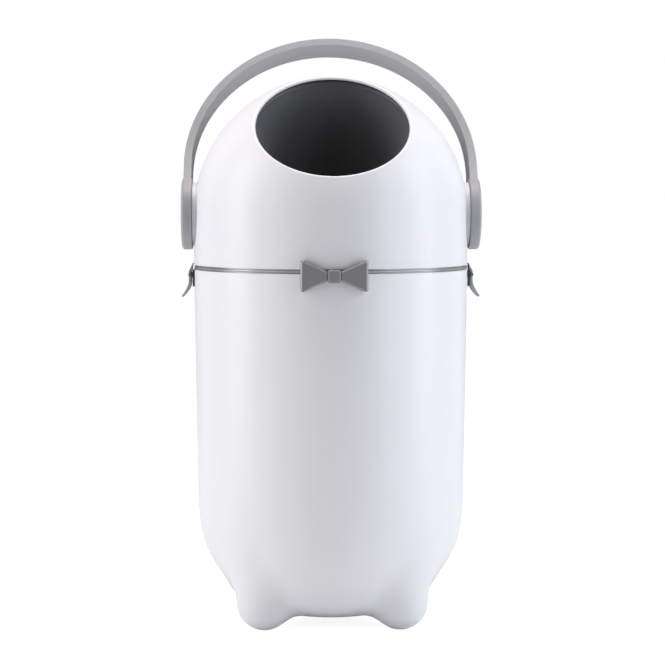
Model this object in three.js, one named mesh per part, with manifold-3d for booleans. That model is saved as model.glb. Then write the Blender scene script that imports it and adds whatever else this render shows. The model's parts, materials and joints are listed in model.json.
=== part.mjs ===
// Nappy bin with a domed lid, a swinging handle that turns an inner drum, four moulded feet,
// a bow on the front and a rocking clip on each side.
// Millimetres, +Z up, origin on the floor under the bin's axis, front towards -Y.
import * as THREE from 'three';
import { mergeVertices } from 'three/addons/utils/BufferGeometryUtils.js';
import Module from 'manifold-3d';

const wasm = await Module();
wasm.setup();

// General fits
const gap = 0.3;
const runningGap = 0.4;
const overrun = 5;
const weldDistance = 0.0001;

// Main form
const bodyRadius = 140;
const jointHeight = 362;
const skirtHeight = 54;
const jointSpace = 4.5;

// Bin
const binWall = 2.6;
const binDraft = 0.65;
const shoulderHeight = 130;
const shoulderHandle = 60;
const flankRadius = 105.5;
const flankHeight = 33.4;
const flankSlope = 60.6;
const flankHandle = 36.4;
const bellyClearance = 3.5;
const bellyFlankHandle = 22;
const bellyMiddleHandle = 50;

// Feet
const footSpread = 68.5;
const footRadius = 28;
const footFlatDepth = 0.7;
const footNeckRadius = 30;
const footNeckHeight = 75;
const footBlend = 16;

// Dome
const domeWall = 2.2;
const holeRadius = 78;
const mouthTilt = 40;
const bossRadius = 32;
const bossStand = 1.1;
const innerBossRadius = 20;

// Drum
const drumGap = 1.4;
const drumWall = 2.4;
const drumMouthRadius = 82;
const drumEndInset = 4;
const hubRadius = 20;
const hubDepth = 3.6;

// Axle and bush
const axleRadius = 8;
const axleFlat = 6.2;
const axleFlangeRadius = 16;
const axleFlangeThickness = 3;
const bushWall = 2.7;
const bushFlangeWidth = 4;
const bushFlangeThickness = 1.4;
const flangeScrewCircle = 12.2;
const flangeScrewRadius = 1.2;
const flangeScrewHeadRadius = 2.4;
const flangeScrewHead = 1.5;
const flangeScrewDepth = 3.2;

// Handle
const handleLean = 27;
const handleTurn = 140;
const handleDiscRadius = 36.5;
const handleDiscThickness = 10.6;
const handleLegInset = 1.1;
const handleThickness = 8;
const handleWidth = 26;
const handleRise = 50;
const handleFlareHeight = 105;
const handleFlareWidth = 62;
const capRadius = 30;
const capThickness = 2;
const capLedge = 4;
const discFloor = 5.2;
const axleScrewHeadRadius = 8;
const axleScrewHead = 2.2;
const axleScrewRadius = 2;
const axleScrewDepth = 12;

// Travel stop
const stopCircle = 22;
const stopPegRadius = 2.5;
const stopPegLength = 3;
const stopPegAngle = 180;

// Grey ring between bin and dome
const beadHeight = 2.6;
const beadInset = 0.1;
const grooveDepth = 1.5;
const ringWall = 2;
const upstandHeight = 6.7;
const spigotDepth = 10.8;
const spigotGap = 0.6;
const floorThickness = 2.2;
const sealGrooveDepth = 0.9;
const sealHeight = 2;
const sealAboveFloor = 1.6;

// Wiper round the drum
const wiperGap = 0.5;
const wiperReach = 5;
const wiperFlange = 4;
const wiperThickness = 1.4;
const wiperLip = 0.9;

// Bow
const bowWidth = 65;
const bowHeight = 29.2;
const bowWaistHeight = 9.4;
const bowDrop = 4.8;
const bowProud = 6.2;
const bowEdge = 1.4;
const bowBridge = 1.8;
const knotWidth = 13;
const knotHeight = 12.6;
const knotProud = 6.9;
const knotEdge = 1.6;
const knotPegRadius = 1.6;
const bowScrewSpread = 28;
const bowScrewRise = 2.6;
const bowScrewRadius = 1.2;
const bowScrewHeadRadius = 2.6;
const bowScrewHead = 1.8;
const bowScrewDepth = 4.2;

// Side clips
const clipPivotStand = 4;
const clipPivotDrop = 7.8;
const clipBarrelRadius = 2.2;
const clipWidth = 24;
const clipNoseWidth = 16;
const clipPlate = 2.6;
const clipPlateStand = 5.2;
const clipStemStand = 1.6;
const clipHookAngle = 8;
const clipNoseStand = 0.5;
const clipNoseThickness = 1.3;
const clipTailStand = 12.6;
const clipTailDrop = 31;
const clipTailBend = 15.5;
const clipShoulderDrop = 4.4;
const clipPinRadius = 1.1;
const clipPocketDepth = 1.4;

// Clip brackets
const earWidth = 5;
const earRadius = 2.4;
const bracketPlate = 1.2;
const bracketRail = 1.6;
const bracketRise = 6;
const bracketDrop = 12;
const bracketScrewRadius = 1.2;
const bracketScrewHeadRadius = 2.5;
const bracketScrewHead = 1.1;
const bracketScrewSink = 1.4;
const bracketScrewDepth = 1.6;

// Fineness of the round shapes
const footColumns = 10;
const sideColumns = 6;
const innerFootColumns = 5;
const bellyRows = 9;
const shoulderRows = 6;
const innerBellyRows = 5;
const innerShoulderRows = 3;
const trackSteps = 30;
const searchSteps = 16;
const halvings = 20;
const rowCrowding = 1.5;
const domeSegments = 44;
const domeRows = 8;
const innerDomeRows = 8;
const drumSegments = 26;
const drumRows = 12;
const innerDrumRows = 10;
const ringSegments = 44;
const beadSegments = 3;
const archSegments = 20;
const discSegments = 32;
const slotSegments = 10;
const rodSegments = 14;
const bendSegments = 5;
const smallSegments = 8;

// Heights and radii that follow from the sizes above
const pivotHeight = jointHeight + skirtHeight;
const binTop = jointHeight - jointSpace / 2;
const domeBottom = jointHeight + jointSpace / 2;
const domeInner = bodyRadius - domeWall;
const drumOuter = domeInner - drumGap;
const drumInner = drumOuter - drumWall;
const drumEnd = drumOuter - drumEndInset;
const hubEnd = drumEnd - drumWall - hubDepth;
const innerBossEnd = drumEnd + runningGap;
const bossFace = bodyRadius + bossStand;
const discInner = bossFace + gap;
const discOuter = discInner + handleDiscThickness;
const legInner = discInner + handleLegInset;
const legOuter = legInner + handleThickness;
const discFloorFace = discInner + discFloor;
const bushOuter = axleRadius + gap + bushWall;
const bushFlangeRadius = bushOuter + bushFlangeWidth;
const beadTop = jointHeight + beadHeight / 2;
const beadRadius = bodyRadius - beadInset;
const groove = beadRadius - grooveDepth;
const clipPivotRadius = bodyRadius + clipPivotStand;
const clipPivotHeight = jointHeight - clipPivotDrop;
const bowMiddleHeight = jointHeight - bowDrop;

const radians = THREE.MathUtils.degToRad;

// Finishes, one material for each sub-part
const finishes = {
  white: { color: 0xeeeff3, roughness: 0.38, metalness: 0 },
  grey: { color: 0x8e8e90, roughness: 0.5, metalness: 0 },
  charcoal: { color: 0x46464a, roughness: 0.6, metalness: 0 },
  rubber: { color: 0x5a5a5c, roughness: 0.85, metalness: 0 },
  bearing: { color: 0xe2e0d8, roughness: 0.45, metalness: 0 },
  steel: { color: 0xb9babd, roughness: 0.35, metalness: 1 },
};

// A closed solid from a geometry: shared corners merged, empty faces dropped, faces out
function solid(geometry) {
  const bare = geometry.index ? geometry.toNonIndexed() : geometry.clone();
  bare.deleteAttribute('normal');
  bare.deleteAttribute('uv');
  const merged = mergeVertices(bare, weldDistance);
  const places = merged.getAttribute('position').array;
  const corners = [];
  let volume = 0;
  for (let i = 0; i < merged.index.count; i += 3) {
    const [a, b, c] = [merged.index.getX(i), merged.index.getX(i + 1), merged.index.getX(i + 2)];
    if (a === b || b === c || c === a) continue;
    corners.push(a, b, c);
    const [p, q, r] = [a, b, c].map((n) => new THREE.Vector3().fromArray(places, 3 * n));
    volume += p.dot(q.cross(r));
  }
  if (volume < 0) corners.reverse();
  const mesh = { numProp: 3, vertProperties: places, triVerts: new Uint32Array(corners) };
  return new wasm.Manifold(new wasm.Mesh(mesh));
}

function join(...solids) {
  return solids.reduce((whole, next) => whole.add(next));
}

function cut(whole, ...tools) {
  return tools.reduce((rest, tool) => rest.subtract(tool), whole);
}

function piece(name, shape, finish) {
  const mesh = shape.getMesh();
  const geometry = new THREE.BufferGeometry();
  geometry.setAttribute('position', new THREE.BufferAttribute(mesh.vertProperties, 3));
  geometry.setIndex(new THREE.BufferAttribute(mesh.triVerts, 1));
  geometry.computeVertexNormals();
  const made = new THREE.Mesh(geometry, new THREE.MeshStandardMaterial(finishes[finish]));
  made.name = name;
  return made;
}

function points(...pairs) {
  return pairs.map(([a, b]) => new THREE.Vector2(a, b));
}

// A profile of radius and height turned round the vertical axis
function revolve(profile, segments) {
  return solid(new THREE.LatheGeometry(profile, segments).rotateX(Math.PI / 2));
}

function closedRing(profile, segments) {
  return revolve([...profile, profile[0]], segments);
}

// An outline in X and Z, carried along Y
function alongY(shape, from, to, curveSegments = smallSegments) {
  const options = { depth: to - from, bevelEnabled: false, curveSegments };
  return solid(new THREE.ExtrudeGeometry(shape, options).rotateX(Math.PI / 2).translate(0, to, 0));
}

// An outline in Y and Z, carried along X
function alongX(shape, from, to) {
  const options = { depth: to - from, bevelEnabled: false, curveSegments: smallSegments };
  const geometry = new THREE.ExtrudeGeometry(shape, options);
  return solid(geometry.rotateZ(Math.PI / 2).rotateY(Math.PI / 2).translate(from, 0, 0));
}

function rodX(radius, from, to, y = 0, z = 0, segments = rodSegments) {
  const geometry = new THREE.CylinderGeometry(radius, radius, to - from, segments);
  return solid(geometry.rotateZ(Math.PI / 2).translate((from + to) / 2, y, z));
}

function rodY(radius, from, to, x, z, segments = rodSegments) {
  const geometry = new THREE.CylinderGeometry(radius, radius, to - from, segments);
  return solid(geometry.translate(x, (from + to) / 2, z));
}

function block([x0, y0, z0], [x1, y1, z1]) {
  const geometry = new THREE.BoxGeometry(x1 - x0, y1 - y0, z1 - z0);
  return solid(geometry.translate((x0 + x1) / 2, (y0 + y1) / 2, (z0 + z1) / 2));
}

// A pillar round the vertical axis, for cutting backs that hug the round body
function pillar(radius, from, to) {
  const geometry = new THREE.CylinderGeometry(radius, radius, to - from, 2 * domeSegments);
  return solid(geometry.rotateX(Math.PI / 2).translate(0, 0, (from + to) / 2));
}

// The same solid on the other side of the bin's middle plane x = 0
function mirrored(shape) {
  const mesh = shape.getMesh();
  const places = mesh.vertProperties.map((value, i) => (i % 3 === 0 ? -value : value));
  const geometry = new THREE.BufferGeometry();
  geometry.setAttribute('position', new THREE.BufferAttribute(places, 3));
  geometry.setIndex(new THREE.BufferAttribute(mesh.triVerts, 1));
  return solid(geometry);
}

function bothSides(shape) {
  return join(shape, mirrored(shape));
}

// Bin: the egg-like profile, belly and shoulder as two curves that meet on the flank
function binProfile() {
  const slope = radians(flankSlope);
  const draft = radians(binDraft);
  const flank = new THREE.Vector2(flankRadius, flankHeight);
  const along = new THREE.Vector2(Math.cos(slope), Math.sin(slope));
  const wallRadius = bodyRadius - (binTop - shoulderHeight) * Math.tan(draft);
  const wallFoot = new THREE.Vector2(wallRadius, shoulderHeight);
  const wallWay = new THREE.Vector2(Math.sin(draft), Math.cos(draft));
  const belly = new THREE.CubicBezierCurve(
    new THREE.Vector2(0, bellyClearance),
    new THREE.Vector2(bellyMiddleHandle, bellyClearance),
    flank.clone().addScaledVector(along, -bellyFlankHandle),
    flank,
  );
  const shoulder = new THREE.CubicBezierCurve(
    flank,
    flank.clone().addScaledVector(along, flankHandle),
    wallFoot.clone().addScaledVector(wallWay, -shoulderHandle),
    wallFoot,
  );
  const top = new THREE.Vector2(bodyRadius, binTop);
  return { belly, shoulder, wall: new THREE.LineCurve(wallFoot, top) };
}

function profileRow(curve, share) {
  const place = curve.getPoint(share);
  const way = curve.getTangent(share);
  return { place, out: new THREE.Vector2(way.y, -way.x) };
}

// Signed distance from the egg's profile, negative inside the bin
function eggDistance(track, radius, height) {
  const here = new THREE.Vector2(radius, height);
  let best = Infinity;
  let side = 1;
  for (let i = 0; i + 1 < track.length; i += 1) {
    const way = track[i + 1].clone().sub(track[i]);
    const from = here.clone().sub(track[i]);
    const share = THREE.MathUtils.clamp(from.dot(way) / way.lengthSq(), 0, 1);
    const off = from.addScaledVector(way, -share);
    if (off.length() < best) {
      best = off.length();
      side = Math.sign(off.x * way.y - off.y * way.x) || 1;
    }
  }
  return best * side;
}

// Signed distance from one foot: a cone with a round end, standing on the floor
function footDistance(across, height) {
  const rise = footNeckHeight - footRadius + footFlatDepth;
  const lean = (footRadius - footNeckRadius) / rise;
  const upright = Math.sqrt(1 - lean * lean);
  const up = height - footRadius + footFlatDepth;
  const reach = up * upright - across * lean;
  if (reach < 0) return Math.hypot(across, up) - footRadius;
  if (reach > upright * rise) return Math.hypot(across, up - rise) - footNeckRadius;
  return across * upright + up * lean - footRadius;
}

// The egg and its feet as one skin, with a soft fillet where they meet
function skinDistance(track, place) {
  const egg = eggDistance(track, Math.hypot(place.x, place.y), place.z);
  const across = Math.hypot(Math.abs(place.x) - footSpread, Math.abs(place.y) - footSpread);
  const foot = footDistance(across, place.z);
  const overlap = Math.max(footBlend - Math.abs(egg - foot), 0) / footBlend;
  return Math.min(egg, foot) - (overlap * overlap * footBlend) / 4;
}

// Where the way out from a profile point leaves the skin that lies `inset` under the surface
function skinPoint(track, row, angle, inset) {
  const at = (t) => {
    const radius = row.place.x + row.out.x * t;
    const height = row.place.y + row.out.y * t;
    return new THREE.Vector3(radius * Math.cos(angle), radius * Math.sin(angle), height);
  };
  const step = footBlend / searchSteps;
  let near = -2 * binWall;
  while (skinDistance(track, at(near + step)) < -inset) near += step;
  let far = near + step;
  for (let i = 0; i < halvings; i += 1) {
    const middle = (near + far) / 2;
    if (skinDistance(track, at(middle)) < -inset) near = middle;
    else far = middle;
  }
  return at(far);
}

// Rows down the profile, closer together towards the flank, where the feet bulge
function profileRows(curves, bellyCount, shoulderCount) {
  const rows = [];
  for (let i = 1; i <= bellyCount; i += 1) {
    rows.push(profileRow(curves.belly, 1 - (1 - i / bellyCount) ** rowCrowding));
  }
  for (let i = 1; i <= shoulderCount; i += 1) rows.push(profileRow(curves.shoulder, i / shoulderCount));
  return rows;
}

// Columns round the bin, closer together on the four feet than on the sides between them
function columnAngles(onFoot, onSide) {
  const half = Math.asin((footRadius + footBlend / 2) / (footSpread * Math.SQRT2));
  const angles = [];
  for (let quarter = 0; quarter < 4; quarter += 1) {
    const first = (Math.PI / 2) * quarter + Math.PI / 4 - half;
    const side = first + 2 * half;
    for (let i = 0; i < onFoot; i += 1) angles.push(first + (2 * half * i) / onFoot);
    for (let i = 0; i < onSide; i += 1) angles.push(side + ((Math.PI / 2 - 2 * half) * i) / onSide);
  }
  return angles;
}

function skinRings(track, rows, angles, inset) {
  return rows.map((row) => angles.map((angle) => skinPoint(track, row, angle, inset)));
}

function flatRing(radius, height, angles) {
  return angles.map((angle) => {
    return new THREE.Vector3(radius * Math.cos(angle), radius * Math.sin(angle), height);
  });
}

// Rings of points joined into one closed skin with a pole at each end
function skinSolid(firstPole, rings, lastPole) {
  const faces = [];
  const fan = (pole, ring) => {
    ring.forEach((place, j) => faces.push(pole, place, ring[(j + 1) % ring.length]));
  };
  fan(firstPole, [...rings[0]].reverse());
  for (let i = 0; i + 1 < rings.length; i += 1) {
    for (let j = 0; j < rings[i].length; j += 1) {
      const k = (j + 1) % rings[i].length;
      const [a, b, c, d] = [rings[i][j], rings[i][k], rings[i + 1][k], rings[i + 1][j]];
      faces.push(a, b, c, a, c, d);
    }
  }
  fan(lastPole, rings[rings.length - 1]);
  return solid(new THREE.BufferGeometry().setFromPoints(faces));
}

// The space inside the skin that lies `inset` under the surface, up to a flat top
function eggFill(inset, rows, angles, track, top) {
  const radius = bodyRadius - inset;
  const rings = [...skinRings(track, rows, angles, inset), flatRing(radius, binTop, angles)];
  if (top > binTop) rings.push(flatRing(radius, top, angles));
  return skinSolid(new THREE.Vector3(0, 0, bellyClearance + inset), rings, new THREE.Vector3(0, 0, top));
}

function binShell() {
  const curves = binProfile();
  const shoulderTrack = curves.shoulder.getPoints(trackSteps).slice(1);
  const track = [...curves.belly.getPoints(trackSteps), ...shoulderTrack, curves.wall.getPoint(1)];
  const rows = profileRows(curves, bellyRows, shoulderRows);
  const innerRows = profileRows(curves, innerBellyRows, innerShoulderRows);
  const angles = columnAngles(footColumns, sideColumns);
  const innerAngles = columnAngles(innerFootColumns, sideColumns);
  const outer = eggFill(0, rows, angles, track, binTop);
  const hollow = eggFill(binWall, innerRows, innerAngles, track, binTop + overrun);
  const reach = bodyRadius + overrun;
  const floor = block([-reach, -reach, -footRadius], [reach, reach, 0]);
  return cut(outer, floor, hollow, ...bracketScrewHoles());
}

function bracketScrewPlaces() {
  const across = clipWidth / 2 + runningGap + earWidth / 2;
  return [-across, across];
}

function wallInnerAt(y) {
  return Math.sqrt((bodyRadius - binWall) ** 2 - y * y);
}

function bracketScrewHoles() {
  const height = clipPivotHeight;
  return bracketScrewPlaces().map((y) => {
    const [from, sunk] = [wallInnerAt(y) - overrun, wallInnerAt(y) + bracketScrewSink];
    const shank = rodX(bracketScrewRadius + gap, from, bodyRadius + overrun, y, height, smallSegments);
    const head = rodX(bracketScrewHeadRadius + gap, from, sunk, y, height, smallSegments);
    return bothSides(join(shank, head));
  });
}

// Dome: a hemisphere on a short skirt, with the slanted hole, the pivot bosses and stop pegs
function domeFill(radius, bottom, rows) {
  const profile = points([0, bottom], [radius, bottom]);
  for (let i = 0; i <= rows; i += 1) {
    const angle = (Math.PI / 2) * (i / rows);
    profile.push(new THREE.Vector2(radius * Math.cos(angle), pivotHeight + radius * Math.sin(angle)));
  }
  profile[profile.length - 1].x = 0;
  return revolve(profile, domeSegments);
}

// A round cutter that leans forward from the vertical by `tilt` degrees
function mouthCutter(radius, from, to, tilt) {
  const geometry = new THREE.CylinderGeometry(radius, radius, to - from, domeSegments);
  return solid(geometry.rotateX(Math.PI / 2).translate(0, 0, (from + to) / 2).rotateX(radians(tilt)));
}

function stopPeg(side) {
  const angle = radians(stopPegAngle);
  const [y, z] = [-stopCircle * Math.sin(angle), pivotHeight + stopCircle * Math.cos(angle)];
  const [from, to] = [bossFace - bossStand, bossFace + stopPegLength];
  return rodX(stopPegRadius, side > 0 ? from : -to, side > 0 ? to : -from, y, z, smallSegments);
}

function clipPocket() {
  const half = clipNoseWidth / 2 + 2 * gap;
  const [inner, outer] = [bodyRadius - clipPocketDepth, bodyRadius + overrun];
  const top = domeBottom + clipNoseThickness + gap;
  return block([inner, -half, domeBottom - overrun], [outer, half, top]);
}

function domeShell() {
  const boss = rodX(bossRadius, 0, bossFace, 0, pivotHeight, discSegments);
  const innerBoss = rodX(innerBossRadius, innerBossEnd, bodyRadius, 0, pivotHeight);
  const bore = rodX(bushOuter + gap, innerBossEnd - overrun, bossFace + overrun, 0, pivotHeight);
  const seatFloor = bossFace - bushFlangeThickness - gap;
  const seat = rodX(bushFlangeRadius + gap, seatFloor, bossFace + overrun, 0, pivotHeight);
  const hole = mouthCutter(holeRadius, 0, bodyRadius + overrun, mouthTilt).translate(0, 0, pivotHeight);
  const outer = join(domeFill(bodyRadius, domeBottom, domeRows), bothSides(boss));
  const hollow = domeFill(domeInner, domeBottom - overrun, innerDomeRows);
  const shell = join(cut(outer, hollow, hole), bothSides(innerBoss));
  return join(
    cut(shell, bothSides(bore), bothSides(seat), bothSides(clipPocket()), ...bowScrewHoles()),
    stopPeg(1),
    stopPeg(-1),
  );
}

function axleBush() {
  const sleeve = rodX(bushOuter, innerBossEnd, bossFace - gap / 2);
  const flange = rodX(bushFlangeRadius, bossFace - bushFlangeThickness, bossFace - gap / 2);
  const bore = rodX(axleRadius + gap, innerBossEnd - overrun, bossFace + overrun);
  return cut(join(sleeve, flange), bore);
}

// Drum: a ball with flat ends and one round mouth, hollow, with a hub at each end
function drumBall(radius, halfWidth, rows) {
  const ball = solid(new THREE.SphereGeometry(radius, drumSegments, rows).rotateZ(Math.PI / 2));
  return ball.intersect(rodX(radius + overrun, -halfWidth, halfWidth));
}

function drumBowl() {
  const outer = drumBall(drumOuter, drumEnd, drumRows);
  const inner = drumBall(drumInner, drumEnd - drumWall, innerDrumRows);
  const mouthPlane = Math.sqrt(drumOuter ** 2 - drumMouthRadius ** 2);
  const [wide, far] = [drumMouthRadius + overrun, drumOuter + overrun];
  const mouth = mouthCutter(wide, mouthPlane, far, mouthTilt + handleLean);
  const hub = rodX(hubRadius, hubEnd, drumEnd - drumWall / 2);
  const bore = rodX(axleRadius + gap, hubEnd - overrun, drumEnd + overrun);
  const hubs = bothSides(hub);
  const holeEnd = hubEnd + flangeScrewDepth + gap;
  const holes = flangeScrewPlaces().map((z) => {
    return rodX(flangeScrewRadius + gap / 2, hubEnd - overrun, holeEnd, 0, z, smallSegments);
  });
  return cut(join(cut(outer, inner, mouth), hubs), bothSides(bore), ...holes.map(bothSides));
}

function flangeScrewPlaces() {
  return [-flangeScrewCircle, flangeScrewCircle];
}

// The axle's outer end, flattened on two sides to key the handle
function keyedRod(radius, flat, from, to) {
  return rodX(radius, from, to).intersect(block([from, -flat, -radius], [to, flat, radius]));
}

function axle() {
  const flangeFace = hubEnd - gap;
  const end = discFloorFace - gap;
  const flange = rodX(axleFlangeRadius, flangeFace - axleFlangeThickness, flangeFace);
  const round = rodX(axleRadius, flangeFace - axleFlangeThickness, bossFace);
  const keyed = keyedRod(axleRadius, axleFlat, bossFace - overrun, end);
  const threadEnd = end - axleScrewDepth - gap;
  const thread = rodX(axleScrewRadius + gap / 2, threadEnd, end + overrun, 0, 0, smallSegments);
  const behind = flangeFace - 2 * axleFlangeThickness;
  const holes = flangeScrewPlaces().map((z) => {
    return rodX(flangeScrewRadius + gap / 2, behind, hubEnd, 0, z, smallSegments);
  });
  return cut(join(flange, round, keyed), thread, ...holes);
}

function flangeScrew(z) {
  const under = hubEnd - gap - axleFlangeThickness - gap;
  const top = under - flangeScrewHead;
  const head = rodX(flangeScrewHeadRadius, top, under, 0, z, smallSegments);
  return join(head, rodX(flangeScrewRadius, top, hubEnd + flangeScrewDepth, 0, z, smallSegments));
}

// Handle: a flat arch whose legs widen into round ends over the pivots
function archOutline() {
  const shape = new THREE.Shape();
  shape.moveTo(legOuter, 0);
  shape.lineTo(legOuter, handleRise);
  shape.absarc(0, handleRise, legOuter, 0, Math.PI, false);
  shape.lineTo(-legOuter, 0);
  shape.lineTo(-legInner, 0);
  shape.lineTo(-legInner, handleRise);
  shape.absarc(0, handleRise, legInner, Math.PI, 0, true);
  shape.lineTo(legInner, 0);
  return shape;
}

function legOutline() {
  const top = handleRise + legOuter + overrun;
  const [narrow, wide] = [handleWidth / 2, handleFlareWidth / 2];
  const shape = new THREE.Shape();
  shape.moveTo(wide, 0);
  shape.quadraticCurveTo(narrow, handleFlareHeight / 2, narrow, handleFlareHeight);
  shape.lineTo(narrow, top);
  shape.lineTo(-narrow, top);
  shape.lineTo(-narrow, handleFlareHeight);
  shape.quadraticCurveTo(-narrow, handleFlareHeight / 2, -wide, 0);
  return shape;
}

// The curved slot that the stop peg runs in, from rest to the end of the handle's turn
function arcSlot() {
  const half = stopPegRadius + gap;
  const last = radians(stopPegAngle + handleLean);
  const first = last - radians(handleTurn);
  const place = (angle, radius) => new THREE.Vector2(-radius * Math.sin(angle), radius * Math.cos(angle));
  const step = (last - first) / slotSegments;
  const track = [];
  for (let i = 0; i <= slotSegments; i += 1) track.push(place(first + step * i, stopCircle + half));
  for (let i = slotSegments; i >= 0; i -= 1) track.push(place(first + step * i, stopCircle - half));
  const [y0, z0] = place(first, stopCircle).toArray();
  const [y1, z1] = place(last, stopCircle).toArray();
  const [from, to] = [discInner - overrun, discInner + stopPegLength + gap];
  return join(
    alongX(new THREE.Shape(track), from, to),
    rodX(half, from, to, y0, z0, smallSegments),
    rodX(half, from, to, y1, z1, smallSegments),
  );
}

function handleBody() {
  const arch = alongY(archOutline(), -handleDiscRadius, handleDiscRadius, archSegments);
  const legs = alongX(legOutline(), -legOuter - overrun, legOuter + overrun);
  const disc = rodX(handleDiscRadius, discInner, discOuter, 0, 0, discSegments);
  const bore = keyedRod(axleRadius + gap, axleFlat + gap, discInner - overrun, discFloorFace + overrun);
  const recess = rodX(capRadius - capLedge, discFloorFace, discOuter + overrun);
  const capSeat = rodX(capRadius + gap, discOuter - capThickness - gap, discOuter + overrun);
  const whole = join(arch.intersect(legs), bothSides(disc));
  return cut(whole, bothSides(bore), bothSides(recess), bothSides(capSeat), bothSides(arcSlot()));
}

function handleCap() {
  return rodX(capRadius, discOuter - capThickness, discOuter);
}

function axleScrew() {
  const face = discFloorFace + gap;
  const head = rodX(axleScrewHeadRadius, face, face + axleScrewHead, 0, 0, rodSegments / 2);
  const tip = discFloorFace - gap - axleScrewDepth;
  const shank = rodX(axleScrewRadius, tip, face + axleScrewHead, 0, 0, smallSegments);
  return join(head, shank);
}

// Grey ring: a half-round bead in view, an upstand inside the dome, a spigot inside the bin
function spigotRadius() {
  return bodyRadius - binWall - spigotGap;
}

function floorHeight() {
  return binTop - spigotDepth;
}

function drumRadiusAt(height) {
  return Math.sqrt(drumOuter ** 2 - (pivotHeight - height) ** 2);
}

// Inner edge of the ring's floor, which stays a little outside the drum
function floorEdge() {
  return drumRadiusAt(floorHeight()) + wiperReach;
}

function lidRing() {
  const top = domeBottom - gap;
  const bottom = binTop + gap;
  const upOuter = domeInner - gap;
  const upInner = upOuter - ringWall;
  const spigot = spigotRadius();
  const spigotInner = spigot - ringWall;
  const floor = floorHeight();
  const sealLow = floor + sealAboveFloor;
  const sealHigh = sealLow + sealHeight + 2 * gap;
  const sealFloor = spigot - sealGrooveDepth - gap;
  const profile = points(
    [floorEdge(), floor],
    [spigot, floor],
    [spigot, sealLow],
    [sealFloor, sealLow],
    [sealFloor, sealHigh],
    [spigot, sealHigh],
    [spigot, bottom],
    [groove, bottom],
  );
  for (let i = 0; i <= beadSegments; i += 1) {
    const angle = Math.PI * (i / beadSegments - 1 / 2);
    const out = groove + grooveDepth * Math.cos(angle);
    profile.push(new THREE.Vector2(out, jointHeight + (beadHeight / 2) * Math.sin(angle)));
  }
  profile.push(...points(
    [groove, top],
    [upOuter, top],
    [upOuter, domeBottom + upstandHeight],
    [upInner, domeBottom + upstandHeight],
    [upInner, jointHeight],
    [spigotInner, bottom],
    [spigotInner, floor + floorThickness],
    [floorEdge(), floor + floorThickness],
  ));
  return cut(closedRing(profile, ringSegments), ...bowScrewHoles());
}

function lidSeal() {
  const low = floorHeight() + sealAboveFloor + gap;
  const inner = spigotRadius() - sealGrooveDepth;
  const outer = spigotRadius() + spigotGap - runningGap;
  const middle = low + sealHeight / 2;
  const high = low + sealHeight;
  const lip = outer - gap;
  const profile = points([inner, low], [lip, low], [outer, middle], [lip, high], [inner, high]);
  return closedRing(profile, ringSegments);
}

// Rubber wiper: a flange under the ring's floor and a lip that follows the drum
function drumWiper() {
  const floor = floorHeight();
  const edge = floorEdge() - gap;
  const low = floor - gap - wiperThickness;
  const high = floor + floorThickness + wiperLip;
  const profile = points(
    [drumRadiusAt(low) + wiperGap, low],
    [edge + wiperFlange, low],
    [edge + wiperFlange, floor - gap],
    [edge, floor - gap],
    [edge, high],
    [drumRadiusAt(high) + wiperGap, high],
  );
  return closedRing(profile, ringSegments);
}

// Bow: two wings on a thin bridge, with a separate knot in front of it
function bowOutline() {
  const [half, tall, waist] = [bowWidth / 2, bowHeight / 2, bowWaistHeight / 2];
  const inner = knotWidth / 2;
  return new THREE.Shape(points([-half, -tall], [-inner, -waist], [inner, -waist], [half, -tall],
    [half, tall], [inner, waist], [-inner, waist], [-half, tall]));
}

// An outline in X and Z with bevelled edges, its front face at the given Y
function bevelledPlate(shape, front, depth, edge, middle) {
  const geometry = new THREE.ExtrudeGeometry(shape, {
    depth: depth - 2 * edge,
    bevelThickness: edge,
    bevelSize: edge,
    bevelOffset: -edge,
    bevelSegments: 2,
  });
  return solid(geometry.translate(0, 0, edge).rotateX(Math.PI / 2).translate(0, front + depth, middle));
}

function bowWings() {
  const front = -(bodyRadius + bowProud);
  const hug = bodyRadius - Math.sqrt(bodyRadius ** 2 - (bowWidth / 2) ** 2);
  const slab = bevelledPlate(bowOutline(), front, bowProud + hug + overrun, bowEdge, bowMiddleHeight);
  const [low, high] = [bowMiddleHeight - bowHeight, bowMiddleHeight + bowHeight];
  const back = pillar(bodyRadius + gap, low, high);
  const half = knotWidth / 2 + gap;
  const notch = block([-half, front - overrun, low], [half, -(bodyRadius + gap + bowBridge), high]);
  const peg = rodY(knotPegRadius + gap, front - overrun, 0, 0, bowMiddleHeight, smallSegments);
  return cut(slab, back, notch, peg, ...bowScrewHoles());
}

function bowKnot() {
  const [half, tall] = [knotWidth / 2, knotHeight / 2];
  const depth = knotProud - bowBridge - 2 * gap;
  const front = -(bodyRadius + knotProud);
  const shape = new THREE.Shape(points([-half, -tall], [half, -tall], [half, tall], [-half, tall]));
  const body = bevelledPlate(shape, front, depth, knotEdge, bowMiddleHeight);
  const pegEnd = front + depth + bowBridge;
  return join(body, rodY(knotPegRadius, front + depth / 2, pegEnd, 0, bowMiddleHeight, smallSegments));
}

function bowScrewHeight() {
  return domeBottom + bowScrewRise;
}

function bowScrewInner() {
  return -Math.sqrt((domeInner - gap - ringWall) ** 2 - (bowScrewSpread + bowScrewHeadRadius) ** 2) + gap;
}

function bowScrewTip() {
  return -Math.sqrt(bodyRadius ** 2 - bowScrewSpread ** 2) - bowScrewDepth;
}

function bowScrewHoles() {
  const [from, to] = [bowScrewTip() - gap, bowScrewInner() + overrun];
  return [-bowScrewSpread, bowScrewSpread].map((x) => {
    return rodY(bowScrewRadius + gap, from, to, x, bowScrewHeight(), smallSegments);
  });
}

function bowScrew(x) {
  const [face, top] = [bowScrewInner(), bowScrewInner() + bowScrewHead];
  const head = rodY(bowScrewHeadRadius, face, top, x, bowScrewHeight(), smallSegments);
  return join(head, rodY(bowScrewRadius, bowScrewTip(), top, x, bowScrewHeight(), smallSegments));
}

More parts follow.
